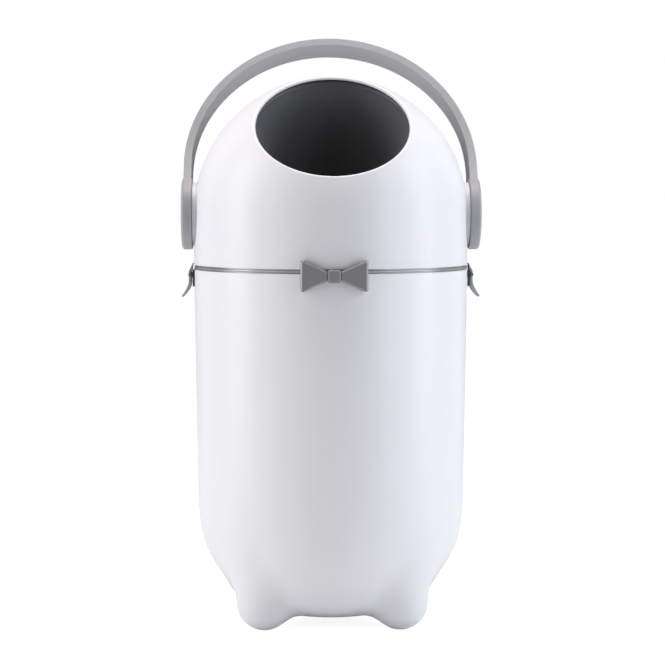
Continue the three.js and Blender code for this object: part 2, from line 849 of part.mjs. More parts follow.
// Side clip, right-hand side: hook, plate and flared tail in one piece on a barrel
function clipNoseBottom() {
  const closing = radians(clipHookAngle);
  const inward = clipPivotStand - clipNoseStand;
  const wanted = beadTop + gap - clipPivotHeight;
  return clipPivotHeight + (wanted + inward * Math.sin(closing)) / Math.cos(closing);
}

function clipOutline() {
  const noseBottom = clipNoseBottom();
  const noseTop = noseBottom + clipNoseThickness;
  const [nose, stem] = [bodyRadius + clipNoseStand, bodyRadius + clipStemStand];
  const plateOuter = bodyRadius + clipPlateStand;
  const plateInner = plateOuter - clipPlate;
  const shoulder = jointHeight - clipShoulderDrop;
  const bend = jointHeight - clipTailBend;
  const tail = jointHeight - clipTailDrop;
  const tailOuter = bodyRadius + clipTailStand;
  const shape = new THREE.Shape();
  shape.moveTo(nose, noseBottom);
  shape.lineTo(stem, noseBottom);
  shape.lineTo(stem, shoulder + clipPlate);
  shape.lineTo(plateInner, shoulder);
  shape.lineTo(plateInner, bend);
  shape.quadraticCurveTo(plateInner, (bend + tail) / 2, tailOuter - clipPlate / 2, tail);
  shape.lineTo(tailOuter, tail + clipPlate / 2);
  shape.quadraticCurveTo(plateOuter + clipPlate / 2, (bend + tail) / 2 + clipPlate / 2, plateOuter, bend);
  shape.lineTo(plateOuter, shoulder);
  shape.lineTo(stem, noseTop);
  shape.lineTo(nose, noseTop);
  return shape;
}

function clipFace() {
  const top = clipNoseBottom() + clipNoseThickness + gap;
  const low = jointHeight - clipTailDrop - gap;
  const shoulder = jointHeight - clipShoulderDrop;
  const [half, nose] = [clipWidth / 2, clipNoseWidth / 2];
  const corner = clipPlate;
  return new THREE.Shape(points([-nose, top], [-nose, beadTop], [-half, shoulder], [-half, low + corner],
    [-half + corner, low], [half - corner, low], [half, low + corner], [half, shoulder], [nose, beadTop],
    [nose, top]));
}

function sideClip() {
  const half = clipWidth / 2;
  const blade = alongY(clipOutline(), -half - gap, half + gap, bendSegments);
  const face = alongX(clipFace(), bodyRadius - overrun, bodyRadius + clipTailStand + overrun);
  const barrel = rodY(clipBarrelRadius, -half, half, clipPivotRadius, clipPivotHeight, rodSegments / 2);
  const reach = half + overrun;
  const bore = rodY(clipPinRadius + gap, -reach, reach, clipPivotRadius, clipPivotHeight, smallSegments);
  return cut(join(blade.intersect(face), barrel), bore);
}

function clipPin() {
  const end = clipWidth / 2 + runningGap + earWidth - gap;
  return rodY(clipPinRadius, -end, end, clipPivotRadius, clipPivotHeight, smallSegments);
}

// Bracket: two ears on rails that hug the bin, joined behind the clip's barrel
function earOutline() {
  const back = bodyRadius - overrun;
  const rail = bodyRadius + gap + bracketRail;
  const [low, high] = [clipPivotHeight - bracketDrop, clipPivotHeight + bracketRise];
  const reach = clipPivotRadius;
  const shape = new THREE.Shape();
  shape.moveTo(back, low);
  shape.lineTo(rail - bracketRail / 2, low);
  shape.lineTo(rail, low + bracketRail);
  shape.lineTo(rail, clipPivotHeight - 2 * earRadius);
  shape.lineTo(reach, clipPivotHeight - earRadius);
  shape.absarc(reach, clipPivotHeight, earRadius, -Math.PI / 2, Math.PI / 2, false);
  shape.lineTo(rail, high - bracketRail);
  shape.lineTo(back, high);
  return shape;
}

function clipBracket() {
  const inner = clipWidth / 2 + runningGap;
  const outer = inner + earWidth;
  const ear = alongY(earOutline(), inner, outer);
  const otherEar = alongY(earOutline(), -outer, -inner);
  const reach = clipBarrelRadius + bracketPlate;
  const plate = block([bodyRadius - overrun, -inner - gap, clipPivotHeight - reach],
    [bodyRadius + gap + bracketPlate, inner + gap, clipPivotHeight + reach]);
  const [low, high] = [clipPivotHeight - 2 * bracketDrop, clipPivotHeight + 2 * bracketDrop];
  const back = pillar(bodyRadius + gap, low, high);
  const end = outer + overrun;
  const bore = rodY(clipPinRadius + gap / 2, -end, end, clipPivotRadius, clipPivotHeight, smallSegments);
  const threadEnd = bodyRadius + bracketScrewDepth + gap;
  const threads = bracketScrewPlaces().map((y) => {
    const [radius, behind] = [bracketScrewRadius + gap / 2, bodyRadius - overrun];
    return rodX(radius, behind, threadEnd, y, clipPivotHeight, smallSegments);
  });
  return cut(join(ear, otherEar, plate), back, bore, ...threads);
}

function bracketScrew(y) {
  const face = wallInnerAt(y) + bracketScrewSink - gap;
  const top = face - bracketScrewHead;
  const tip = bodyRadius + bracketScrewDepth;
  const head = rodX(bracketScrewHeadRadius, top, face, y, clipPivotHeight, smallSegments);
  return join(head, rodX(bracketScrewRadius, top, tip, y, clipPivotHeight, smallSegments));
}

// Assembly: the same side pieces stand on the right, and turned half round on the left
function side(name, pieces) {
  const group = new THREE.Group();
  group.rotation.z = name === 'left' ? Math.PI : 0;
  group.add(...pieces);
  return group;
}

function binGroup() {
  const group = new THREE.Group();
  group.add(piece('bin_shell', binShell(), 'white'));
  for (const name of ['right', 'left']) {
    const [front, back] = bracketScrewPlaces();
    group.add(side(name, [
      piece(`clip_bracket_${name}`, clipBracket(), 'grey'),
      piece(`clip_pin_${name}`, clipPin(), 'steel'),
      piece(`bracket_screw_${name}_a`, bracketScrew(front), 'steel'),
      piece(`bracket_screw_${name}_b`, bracketScrew(back), 'steel'),
      piece(`clip_${name}`, sideClip(), 'grey'),
    ]));
  }
  return group;
}

function lidGroup() {
  const group = new THREE.Group();
  group.add(
    piece('dome_shell', domeShell(), 'white'),
    piece('lid_ring', lidRing(), 'grey'),
    piece('lid_seal', lidSeal(), 'rubber'),
    piece('drum_wiper', drumWiper(), 'rubber'),
    piece('bow_wings', bowWings(), 'grey'),
    piece('bow_knot', bowKnot(), 'grey'),
    piece('bow_screw_left', bowScrew(-bowScrewSpread), 'steel'),
    piece('bow_screw_right', bowScrew(bowScrewSpread), 'steel'),
  );
  const bushes = new THREE.Group();
  bushes.position.z = pivotHeight;
  for (const name of ['right', 'left']) {
    bushes.add(side(name, [piece(`axle_bush_${name}`, axleBush(), 'bearing')]));
  }
  group.add(bushes);
  return group;
}

function rotorGroup() {
  const group = new THREE.Group();
  group.position.z = pivotHeight;
  group.rotation.x = -radians(handleLean);
  group.add(piece('drum', drumBowl(), 'charcoal'), piece('handle', handleBody(), 'grey'));
  for (const name of ['right', 'left']) {
    const [low, high] = flangeScrewPlaces();
    group.add(side(name, [
      piece(`axle_${name}`, axle(), 'steel'),
      piece(`flange_screw_${name}_a`, flangeScrew(low), 'steel'),
      piece(`flange_screw_${name}_b`, flangeScrew(high), 'steel'),
      piece(`handle_cap_${name}`, handleCap(), 'grey'),
      piece(`axle_screw_${name}`, axleScrew(), 'steel'),
    ]));
  }
  return group;
}

const nappyBin = new THREE.Group();
nappyBin.add(binGroup(), lidGroup(), rotorGroup());

export default nappyBin;
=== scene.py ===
# %% [markdown]
# # A nappy bin with a domed lid and a swinging handle
# This notebook dresses one small product: a white moulded bin on four feet, a white dome
# with a slanted hole, the dark drum inside it, a grey handle that turns the drum, a grey
# ring with a bow in front, and a grey clip on each side. The construction is already
# fixed in a frame of rigid bodies. Here each piece gets its fine surface and its finish.

# %% Load the fixed frame
import json
import math

import bpy
import numpy as np
from mathutils import Matrix, Vector


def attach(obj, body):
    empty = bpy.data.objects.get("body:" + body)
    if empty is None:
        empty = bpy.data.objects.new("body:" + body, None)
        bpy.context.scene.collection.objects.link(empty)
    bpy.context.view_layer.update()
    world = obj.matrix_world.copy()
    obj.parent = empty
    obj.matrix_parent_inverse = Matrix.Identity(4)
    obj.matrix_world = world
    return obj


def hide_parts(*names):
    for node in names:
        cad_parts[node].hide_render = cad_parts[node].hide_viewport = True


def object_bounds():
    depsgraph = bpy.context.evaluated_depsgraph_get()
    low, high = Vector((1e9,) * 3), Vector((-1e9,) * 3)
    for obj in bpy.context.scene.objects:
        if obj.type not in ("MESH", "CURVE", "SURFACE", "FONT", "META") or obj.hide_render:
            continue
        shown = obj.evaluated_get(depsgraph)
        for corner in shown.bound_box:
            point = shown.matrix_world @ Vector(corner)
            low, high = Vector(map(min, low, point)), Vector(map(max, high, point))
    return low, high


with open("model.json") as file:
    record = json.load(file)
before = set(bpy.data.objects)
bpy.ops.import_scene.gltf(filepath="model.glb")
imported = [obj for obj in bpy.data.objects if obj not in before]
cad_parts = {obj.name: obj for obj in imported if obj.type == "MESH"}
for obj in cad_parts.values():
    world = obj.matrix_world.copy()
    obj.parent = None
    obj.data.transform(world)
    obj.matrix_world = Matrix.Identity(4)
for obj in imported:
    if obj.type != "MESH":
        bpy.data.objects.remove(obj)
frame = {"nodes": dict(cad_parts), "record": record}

cad_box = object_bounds()
for name in ("Cube", "Light", "Camera"):
    if name in bpy.data.objects:
        bpy.data.objects.remove(bpy.data.objects[name])
print("nodes in the frame:", len(frame["nodes"]))

# %% [markdown]
# ## Sizes
# A product is drawn from a few driving sizes. The same ones shape the pieces below, so
# that a fine shell lies exactly where the plain one does. Lengths are written in
# millimetres and turned to metres by one factor.

# %% Driving sizes
MM = 0.001
GAP = 0.3 * MM
RUNNING_GAP = 0.4 * MM
OVERRUN = 5 * MM
BODY_RADIUS = 140 * MM
JOINT_HEIGHT = 362 * MM
JOINT_SPACE = 4.5 * MM
SKIRT_HEIGHT = 54 * MM
BIN_WALL = 2.6 * MM
DOME_WALL = 2.2 * MM
LEAN = math.radians(27)
MOUTH_TILT = math.radians(40)

BIN_TOP = JOINT_HEIGHT - JOINT_SPACE / 2
DOME_BOTTOM = JOINT_HEIGHT + JOINT_SPACE / 2
DOME_INNER = BODY_RADIUS - DOME_WALL
PIVOT = Vector((0, 0, JOINT_HEIGHT + SKIRT_HEIGHT))
AXIS_X = Vector((1, 0, 0))
AXIS_Y = Vector((0, 1, 0))
AXIS_Z = Vector((0, 0, 1))
MOUTH_WAY = Vector((0, -math.sin(MOUTH_TILT), math.cos(MOUTH_TILT)))
SIDES = {"right": 1, "left": -1}
print("body across:", 2 * BODY_RADIUS, "pivot height:", PIVOT.z)

# %% [markdown]
# ## The camera
# The photograph was taken from about two metres away, a little above the middle of the
# bin and a hair to its left, with a long lens. A long lens keeps the ring's ellipse flat.
# The camera is set up from those facts, and the rest of the scene is judged through it.

# %% Camera
CAMERA_DISTANCE = 2.0
CAMERA_HEIGHT = 0.4396
CAMERA_YAW = math.radians(1.4)
CAMERA_PITCH = math.radians(4.17)
CAMERA_SENSOR = 36
CAMERA_LENS = 105.3
CAMERA_SHIFT = 0.0027

camera_data = bpy.data.cameras.new("camera")
camera_data.sensor_width = CAMERA_SENSOR
camera_data.lens = CAMERA_LENS
camera_data.shift_x = CAMERA_SHIFT
camera = bpy.data.objects.new("camera", camera_data)
camera.location = (
    -CAMERA_DISTANCE * math.sin(CAMERA_YAW),
    -CAMERA_DISTANCE * math.cos(CAMERA_YAW),
    CAMERA_HEIGHT,
)
camera.rotation_euler = (math.pi / 2 - CAMERA_PITCH, 0, -CAMERA_YAW)
bpy.context.scene.collection.objects.link(camera)
bpy.context.scene.camera = camera
print("camera at", tuple(round(v, 3) for v in camera.location))

# %% [markdown]
# ## Small hand tools
# Every piece is started, shaped and finished with the same few moves: pick nothing,
# draw a line point by point, spin it or pull it out, cut it, round its edges. They are
# written once here.

# %% Starting and picking
def pick_nothing():
    if bpy.context.object and bpy.context.object.mode != "OBJECT":
        bpy.ops.object.mode_set(mode="OBJECT")
    bpy.ops.object.select_all(action="DESELECT")


def pick_only(piece):
    pick_nothing()
    piece.select_set(True)
    bpy.context.view_layer.objects.active = piece


def edit(piece):
    pick_only(piece)
    bpy.ops.object.mode_set(mode="EDIT")
    bpy.ops.mesh.select_mode(type="VERT")
    bpy.ops.mesh.select_all(action="DESELECT")


def leave_edit():
    bpy.ops.object.mode_set(mode="OBJECT")


# %% Lines with arcs and rounded corners
def arc(centre, radius, start, end, steps):
    """Points on a circle from one angle to another, both ends kept."""
    angles = (start + (end - start) * k / steps for k in range(steps + 1))
    return [Vector((centre[0] + radius * math.cos(a), centre[1] + radius * math.sin(a))) for a in angles]


def bezier(start, first, second, end, steps):
    """Points along a cubic curve, its start left out."""
    line = []
    for k in range(1, steps + 1):
        t = k / steps
        back, near, far = 1 - t, (1 - t) ** 2, t ** 2
        line.append(start * near * back + first * 3 * t * near + second * 3 * far * back + end * far * t)
    return line


def soften(corners, closed=True, steps=6):
    """A line through corners (a, b) or (a, b, radius), rounded by an arc where there is a radius."""
    line = []
    for i, (a, b, *radius) in enumerate(corners):
        here = Vector((a, b))
        radius = radius[0] if radius else 0
        if radius == 0 or (not closed and i in (0, len(corners) - 1)):
            line.append(here)
            continue
        before = (Vector(corners[i - 1][:2]) - here).normalized()
        after = (Vector(corners[(i + 1) % len(corners)][:2]) - here).normalized()
        half = before.angle(after) / 2
        centre = here + (before + after).normalized() * radius / math.sin(half)
        first = here + before * radius / math.tan(half) - centre
        last = here + after * radius / math.tan(half) - centre
        turn = math.atan2(first.cross(last), first.dot(last))
        line += [centre + Matrix.Rotation(turn * k / steps, 2) @ first for k in range(steps + 1)]
    return line


# %% Drawing, spinning and pulling
def draw_line(points):
    """A chain of edges: one vertex, extruded from point to point."""
    pick_nothing()
    bpy.ops.mesh.primitive_plane_add(size=MM, location=points[0])
    piece = bpy.context.object
    bpy.ops.object.transform_apply(location=True, rotation=True, scale=True)
    bpy.ops.object.mode_set(mode="EDIT")
    bpy.ops.mesh.select_mode(type="VERT")
    bpy.ops.mesh.select_all(action="SELECT")
    bpy.ops.mesh.merge(type="CENTER")
    last = Vector(points[0])
    for point in points[1:]:
        bpy.ops.mesh.extrude_vertices_move(TRANSFORM_OT_translate={"value": Vector(point) - last})
        last = Vector(point)
    return piece


def face_out():
    bpy.ops.mesh.select_all(action="SELECT")
    bpy.ops.mesh.remove_doubles(threshold=MM / 1000)
    bpy.ops.mesh.normals_make_consistent(inside=False)


def turned(profile, centre=Vector(), way=AXIS_Z, steps=96, closed=False):
    """A profile of (radius, distance along the axis), turned once round the axis."""
    side = AXIS_Z.cross(way)
    side = side.normalized() if side.length > 0.5 else AXIS_X
    points = [centre + side * r + way * t for r, t in profile]
    if closed:
        points.append(points[0])
    piece = draw_line(points)
    bpy.ops.mesh.select_all(action="SELECT")
    bpy.ops.mesh.spin(steps=steps, angle=2 * math.pi, center=centre, axis=way)
    face_out()
    leave_edit()
    return piece


def pulled(points, pull):
    """A flat closed outline, filled and pulled out along a vector into a solid."""
    piece = draw_line(points)
    bpy.ops.mesh.select_all(action="SELECT")
    bpy.ops.mesh.edge_face_add()
    bpy.ops.mesh.extrude_region_move(TRANSFORM_OT_translate={"value": Vector(pull)})
    face_out()
    leave_edit()
    return piece


def pulled_y(outline, low, high):
    """An outline in X and Z, pulled along Y."""
    return pulled([Vector((a, low, b)) for a, b in outline], (0, high - low, 0))


def pulled_x(outline, low, high):
    """An outline in Y and Z, pulled along X."""
    return pulled([Vector((low, a, b)) for a, b in outline], (high - low, 0, 0))


# %% Rods, slabs, cuts and joins
def rod(radius, start, end, edge=0, root=0, steps=48):
    """A round bar between two points, its end and its root rounded by their own radii."""
    start, end = Vector(start), Vector(end)
    length = (end - start).length
    corners = [(0, 0, 0), (radius, 0, root), (radius, length, edge), (0, length, 0)]
    profile = soften(corners, closed=False, steps=4)
    return turned(profile, start, (end - start).normalized(), steps)


def rod_x(radius, low, high, y=0, z=PIVOT.z, **settings):
    return rod(radius, (low, y, z), (high, y, z), **settings)


def rod_y(radius, low, high, x, z, **settings):
    return rod(radius, (x, low, z), (x, high, z), **settings)


def slab(low, high):
    """A box from its lowest to its highest corner."""
    low, high = Vector(low), Vector(high)
    pick_nothing()
    bpy.ops.mesh.primitive_cube_add(size=1, location=(low + high) / 2)
    piece = bpy.context.object
    piece.scale = high - low
    bpy.ops.object.transform_apply(location=True, rotation=True, scale=True)
    return piece


def apply_modifier(piece, kind, **settings):
    pick_only(piece)
    modifier = piece.modifiers.new(kind.lower(), kind)
    for key, value in settings.items():
        setattr(modifier, key, value)
    bpy.ops.object.modifier_apply(modifier=modifier.name)


def boolean(piece, tool, operation):
    apply_modifier(piece, "BOOLEAN", object=tool, operation=operation, solver="EXACT")
    bpy.data.objects.remove(tool)


def cut(piece, *tools):
    for tool in tools:
        boolean(piece, tool, "DIFFERENCE")


def join(piece, *tools):
    for tool in tools:
        boolean(piece, tool, "UNION")


def round_edges(piece, width, steps=3, angle=40):
    """Rounds every edge that is sharper than the angle, in degrees."""
    apply_modifier(
        piece, "BEVEL", width=width, segments=steps, limit_method="ANGLE",
        angle_limit=math.radians(angle), use_clamp_overlap=True,
    )


def other_side(piece):
    """The same piece for the other side, turned half round the bin's axis, with its own mesh."""
    twin = piece.copy()
    twin.data = piece.data.copy()
    bpy.context.scene.collection.objects.link(twin)
    twin.data.transform(Matrix.Rotation(math.pi, 4, "Z"))
    return twin


def lean_back(piece):
    """Turns a piece that was modelled upright about the pivots, to the handle's lean."""
    turn = Matrix.Rotation(-LEAN, 4, "X")
    piece.data.transform(Matrix.Translation(PIVOT) @ turn @ Matrix.Translation(-PIVOT))
    return piece


# %% [markdown]
# ## Finishing a piece
# The last moves are the same for all: smooth shading up to an angle, normals that follow
# the large faces, the name of the plain piece that it stands for, and the rigid body
# that it rides on. The finish itself is laid on at the end, by material slot.

# %% Finish, name and body
BODIES = frame["record"]["behaviour"]["bodies"]
BODY_OF = {node: body for body, nodes in BODIES.items() for node in nodes}
SLOT_OF = {entry["node"]: entry["material_slot"] for entry in frame["record"]["subparts"]}
pieces = {}


def finish_piece(piece, node, smooth=35, weighted=True):
    """Names a fine piece after its node, shades it and sets it on the node's body."""
    piece.name = node + "_fine"
    piece.data.name = piece.name
    pick_only(piece)
    bpy.ops.object.shade_smooth_by_angle(angle=math.radians(smooth), keep_sharp_edges=False)
    if weighted:
        apply_modifier(piece, "WEIGHTED_NORMAL", keep_sharp=True)
    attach(piece, BODY_OF[node])
    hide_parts(node)
    pieces[node] = piece
    print(node, "faces:", len(piece.data.polygons))


def finish_pair(piece, node, leaning=False):
    """Finishes a piece on the right, and its copy turned half round on the left."""
    pair = {node + "_right": piece, node + "_left": other_side(piece)}
    for name, single in pair.items():
        finish_piece(lean_back(single) if leaning else single, name)


# %% [markdown]
# ## The bin
# The tub is moulded in one piece with its four feet, so no edge shows between them. A
# turned profile gives the egg. The feet could be joined on as balls and then filleted,
# but such a fillet is uneven. Here the turned skin itself swells: each point near a foot
# moves straight out until it reaches a surface that blends the egg and the foot softly,
# which is just what the mould does. The wall is then given its thickness inwards.

# %% The egg's profile
BIN_DRAFT = math.radians(0.65)
SHOULDER_HEIGHT = 130 * MM
SHOULDER_HANDLE = 60 * MM
FLANK = Vector((105.5 * MM, 33.4 * MM))
FLANK_SLOPE = math.radians(60.6)
FLANK_HANDLE = 36.4 * MM
BELLY_CLEARANCE = 3.5 * MM
BELLY_FLANK_HANDLE = 22 * MM
BELLY_MIDDLE_HANDLE = 50 * MM
BIN_COLUMNS = 288
BELLY_ROWS = 44
SHOULDER_ROWS = 40
WALL_ROWS = 10

along_flank = Vector((math.cos(FLANK_SLOPE), math.sin(FLANK_SLOPE)))
wall_way = Vector((math.sin(BIN_DRAFT), math.cos(BIN_DRAFT)))
wall_foot = Vector((BODY_RADIUS - (BIN_TOP - SHOULDER_HEIGHT) * math.tan(BIN_DRAFT), SHOULDER_HEIGHT))
wall_top = Vector((BODY_RADIUS, BIN_TOP))
bottom = Vector((0, BELLY_CLEARANCE))
middle_handle = Vector((BELLY_MIDDLE_HANDLE, BELLY_CLEARANCE))
egg_line = [bottom]
egg_line += bezier(bottom, middle_handle, FLANK - along_flank * BELLY_FLANK_HANDLE, FLANK, BELLY_ROWS)
flank_handle, shoulder_handle = along_flank * FLANK_HANDLE, wall_way * SHOULDER_HANDLE
egg_line += bezier(FLANK, FLANK + flank_handle, wall_foot - shoulder_handle, wall_foot, SHOULDER_ROWS)
egg_line += [wall_foot.lerp(wall_top, (k + 1) / WALL_ROWS) for k in range(WALL_ROWS)]
bin_shell = turned(egg_line, steps=BIN_COLUMNS)
print("rows on the egg:", len(egg_line))

# %% How far a point is from a foot
FOOT_SPREAD = 68.5 * MM
FOOT_RADIUS = 28 * MM
FOOT_FLAT = 0.7 * MM
FOOT_NECK_RADIUS = 30 * MM
FOOT_NECK_HEIGHT = 75 * MM
FOOT_BLEND = 16 * MM


def foot_distance(points):
    """Signed distance of many points from the nearest foot, a cone with a round end."""
    across = np.hypot(np.abs(points[:, 0]) - FOOT_SPREAD, np.abs(points[:, 1]) - FOOT_SPREAD)
    rise = FOOT_NECK_HEIGHT - FOOT_RADIUS + FOOT_FLAT
    lean = (FOOT_RADIUS - FOOT_NECK_RADIUS) / rise
    upright = math.sqrt(1 - lean * lean)
    up = points[:, 2] - FOOT_RADIUS + FOOT_FLAT
    reach = up * upright - across * lean
    side = across * upright + up * lean - FOOT_RADIUS
    low = np.hypot(across, up) - FOOT_RADIUS
    high = np.hypot(across, up - rise) - FOOT_NECK_RADIUS
    return np.where(reach < 0, low, np.where(reach > upright * rise, high, side))


def outside(points, outward, travel):
    """Whether points that moved out by their travel lie outside the egg and its feet."""
    foot = foot_distance(points + outward * travel[:, None])
    overlap = np.maximum(FOOT_BLEND - np.abs(travel - foot), 0) / FOOT_BLEND
    return np.minimum(travel, foot) - overlap * overlap * FOOT_BLEND / 4 >= 0


# %% The feet swell out of the egg
FARTHEST_SWELL = 60 * MM
SEARCH_STEPS = 120
HALVINGS = 24

skin = bin_shell.data
places = np.empty(3 * len(skin.vertices))
outward = np.empty(3 * len(skin.vertices))
skin.vertices.foreach_get("co", places)
skin.vertices.foreach_get("normal", outward)
places = places.reshape(-1, 3)
outward = outward.reshape(-1, 3)
near = np.zeros(len(places))
for k in range(1, SEARCH_STEPS + 1):
    travel = np.full(len(places), FARTHEST_SWELL * k / SEARCH_STEPS)
    near = np.where(outside(places, outward, travel), near, travel)
far = near + FARTHEST_SWELL / SEARCH_STEPS
for _ in range(HALVINGS):
    middle = (near + far) / 2
    beyond = outside(places, outward, middle)
    far = np.where(beyond, middle, far)
    near = np.where(beyond, near, middle)
swell = np.where(outside(places, outward, np.zeros(len(places))), 0, far)
places = places + outward * swell[:, None]
places[:, 2] = np.maximum(places[:, 2], 0)
skin.vertices.foreach_set("co", places.ravel())
skin.update()
print("farthest swell:", round(float(swell.max()) / MM, 1), "mm")

# %% The bin's wall, rim and screw holes
BIN_RIM = 0.7 * MM
CLIP_PIVOT_HEIGHT = JOINT_HEIGHT - 7.8 * MM
BRACKET_SCREW_SPREAD = 14.9 * MM
BRACKET_SCREW_RADIUS = 1.2 * MM
BRACKET_SCREW_HEAD_RADIUS = 2.5 * MM
BRACKET_SCREW_SINK = 1.4 * MM
BRACKET_WALL_INNER = math.sqrt((BODY_RADIUS - BIN_WALL) ** 2 - BRACKET_SCREW_SPREAD ** 2)

apply_modifier(bin_shell, "SOLIDIFY", thickness=BIN_WALL, offset=-1, use_even_offset=True)
round_edges(bin_shell, BIN_RIM, angle=50)


def stepped_hole(side, radii, depths, steps, y=0, z=PIVOT.z):
    """A cutter for a hole along X that changes from one radius to another at its middle depth."""
    (first, second), (start, step, end) = radii, depths
    profile = [(0, start), (first, start), (first, step), (second, step), (second, end), (0, end)]
    return turned(profile, Vector((0, y, z)), AXIS_X * side, steps)


radii = BRACKET_SCREW_HEAD_RADIUS + GAP, BRACKET_SCREW_RADIUS + GAP
sunk = BRACKET_WALL_INNER + BRACKET_SCREW_SINK
depths = BRACKET_WALL_INNER - OVERRUN, sunk, BODY_RADIUS + OVERRUN
for side in SIDES.values():
    for y in (-BRACKET_SCREW_SPREAD, BRACKET_SCREW_SPREAD):
        cut(bin_shell, stepped_hole(side, radii, depths, 24, y, CLIP_PIVOT_HEIGHT))
finish_piece(bin_shell, "bin_shell", weighted=False)

# %% [markdown]
# ## The dome
# The lid's dome is a half ball on a short skirt, with a slanted round hole whose edge is
# the most looked-at edge of the product. Cutting the hole by a boolean leaves a ragged
# edge. The wall's profile, rounded lip and all, is turned round the hole's own axis
# instead, then cut off at the ball's equator and pulled down into the skirt.

# %% Wall profile round the hole's axis
HOLE_RADIUS = 75.8 * MM
HOLE_LIP = 2.4 * MM
HOLE_LIP_DEPTH = 113.8 * MM
HOLE_TILT = math.radians(40.6)
HOLE_LIP_BACK = 3 * MM
LIP_BEND = 0.6
LIP_STEPS = 10
DOME_RINGS = 72
DOME_COLUMNS = 256


def ball_wall(outer, inner, lip_line, lip_root, rings):
    """Profile of a ball's wall that is open at one end, where it ends in the given lip."""
    outer_angle = math.atan2(lip_line[0].y, lip_line[0].x)
    inner_angle = math.acos(lip_root / inner)
    outer_line = arc((0, 0), outer, -math.pi / 2, outer_angle, rings)
    inner_line = arc((0, 0), inner, inner_angle, -math.pi / 2, rings)
    profile = outer_line[:-1] + lip_line
    lip_end, root = lip_line[-1], inner_line[0]
    back = Vector((lip_end.x, root.y))
    profile += bezier(lip_end, lip_end.lerp(back, LIP_BEND), root.lerp(back, LIP_BEND), root, LIP_STEPS)
    profile += inner_line[1:]
    profile[0].x = 0
    profile[-1].x = 0
    return profile


roll = HOLE_RADIUS + HOLE_LIP
roll_centre = (roll, math.sqrt((BODY_RADIUS - HOLE_LIP) ** 2 - roll ** 2))
roll_start = math.atan2(roll_centre[1], roll_centre[0])
roll_end = math.pi - math.asin((HOLE_LIP_DEPTH - roll_centre[1]) / HOLE_LIP)
lip_line = arc(roll_centre, HOLE_LIP, roll_start, roll_end, LIP_STEPS)
wall = ball_wall(BODY_RADIUS, DOME_INNER, lip_line, lip_line[-1].x + HOLE_LIP_BACK, DOME_RINGS)
hole_way = Vector((0, -math.sin(HOLE_TILT), math.cos(HOLE_TILT)))
dome = turned(wall, PIVOT, hole_way, DOME_COLUMNS)
print("points on the dome's profile:", len(wall))

# %% Cut at the equator, pulled down into the skirt
SKIRT_EDGE = 0.6 * MM

edit(dome)
bpy.ops.mesh.select_all(action="SELECT")
bpy.ops.mesh.bisect(plane_co=PIVOT, plane_no=AXIS_Z, clear_inner=True, threshold=MM / 1000)
bpy.ops.mesh.select_all(action="DESELECT")
bpy.ops.mesh.select_non_manifold()
drop = Vector((0, 0, DOME_BOTTOM - PIVOT.z))
bpy.ops.mesh.extrude_edges_move(TRANSFORM_OT_translate={"value": drop})
bpy.ops.mesh.bridge_edge_loops()
face_out()
leave_edit()
round_edges(dome, SKIRT_EDGE, angle=50)
print("lowest point of the dome:", round(min(v.co.z for v in dome.data.vertices) / MM, 2), "mm")

# %% Bosses, bores, stop pegs and clip pockets
BOSS_RADIUS = 32 * MM
BOSS_FACE = BODY_RADIUS + 1.1 * MM
BOSS_ROOT = 136.2 * MM
BOSS_EDGE = 0.6 * MM
INNER_BOSS_RADIUS = 20 * MM
DRUM_OUTER = DOME_INNER - 1.4 * MM
DRUM_WALL = 2.4 * MM
DRUM_INNER = DRUM_OUTER - DRUM_WALL
DRUM_END = DRUM_OUTER - 4 * MM
INNER_BOSS_END = DRUM_END + RUNNING_GAP
AXLE_RADIUS = 8 * MM
BUSH_OUTER = AXLE_RADIUS + GAP + 2.7 * MM
BUSH_FLANGE_RADIUS = BUSH_OUTER + 4 * MM
BUSH_FLANGE = 1.4 * MM
STOP_CIRCLE = 22 * MM
STOP_PEG_RADIUS = 2.5 * MM
STOP_PEG_LENGTH = 3 * MM
STOP_PEG_EDGE = 0.4 * MM
CLIP_NOSE_WIDTH = 16 * MM
CLIP_NOSE = 1.3 * MM
CLIP_POCKET_DEPTH = 1.4 * MM
BOW_SCREW_SPREAD = 28 * MM
BOW_SCREW_HEIGHT = DOME_BOTTOM + 2.6 * MM
BOW_SCREW_RADIUS = 1.2 * MM


def clip_pocket(side):
    half = CLIP_NOSE_WIDTH / 2 + 2 * GAP
    inner, outer = sorted((side * (BODY_RADIUS - CLIP_POCKET_DEPTH), side * (BODY_RADIUS + OVERRUN)))
    top = DOME_BOTTOM + CLIP_NOSE + GAP
    return slab((inner, -half, DOME_BOTTOM - OVERRUN), (outer, half, top))


radii = BUSH_OUTER + GAP, BUSH_FLANGE_RADIUS + GAP
depths = INNER_BOSS_END - OVERRUN, BOSS_FACE - BUSH_FLANGE - GAP, BOSS_FACE + OVERRUN
for side in SIDES.values():
    join(dome, rod_x(BOSS_RADIUS, side * BOSS_ROOT, side * BOSS_FACE, edge=BOSS_EDGE, steps=96))
    join(dome, rod_x(INNER_BOSS_RADIUS, side * INNER_BOSS_END, side * BODY_RADIUS))
    cut(dome, stepped_hole(side, radii, depths, 64), clip_pocket(side))
    start, end = side * BODY_RADIUS, side * (BOSS_FACE + STOP_PEG_LENGTH)
    peg_height = PIVOT.z - STOP_CIRCLE
    join(dome, rod_x(STOP_PEG_RADIUS, start, end, z=peg_height, edge=STOP_PEG_EDGE, steps=24))
    place = (side * BOW_SCREW_SPREAD, BOW_SCREW_HEIGHT)
    cut(dome, rod_y(BOW_SCREW_RADIUS + GAP, -BODY_RADIUS, -DRUM_END, *place, steps=24))
finish_piece(dome, "dome_shell", weighted=False)

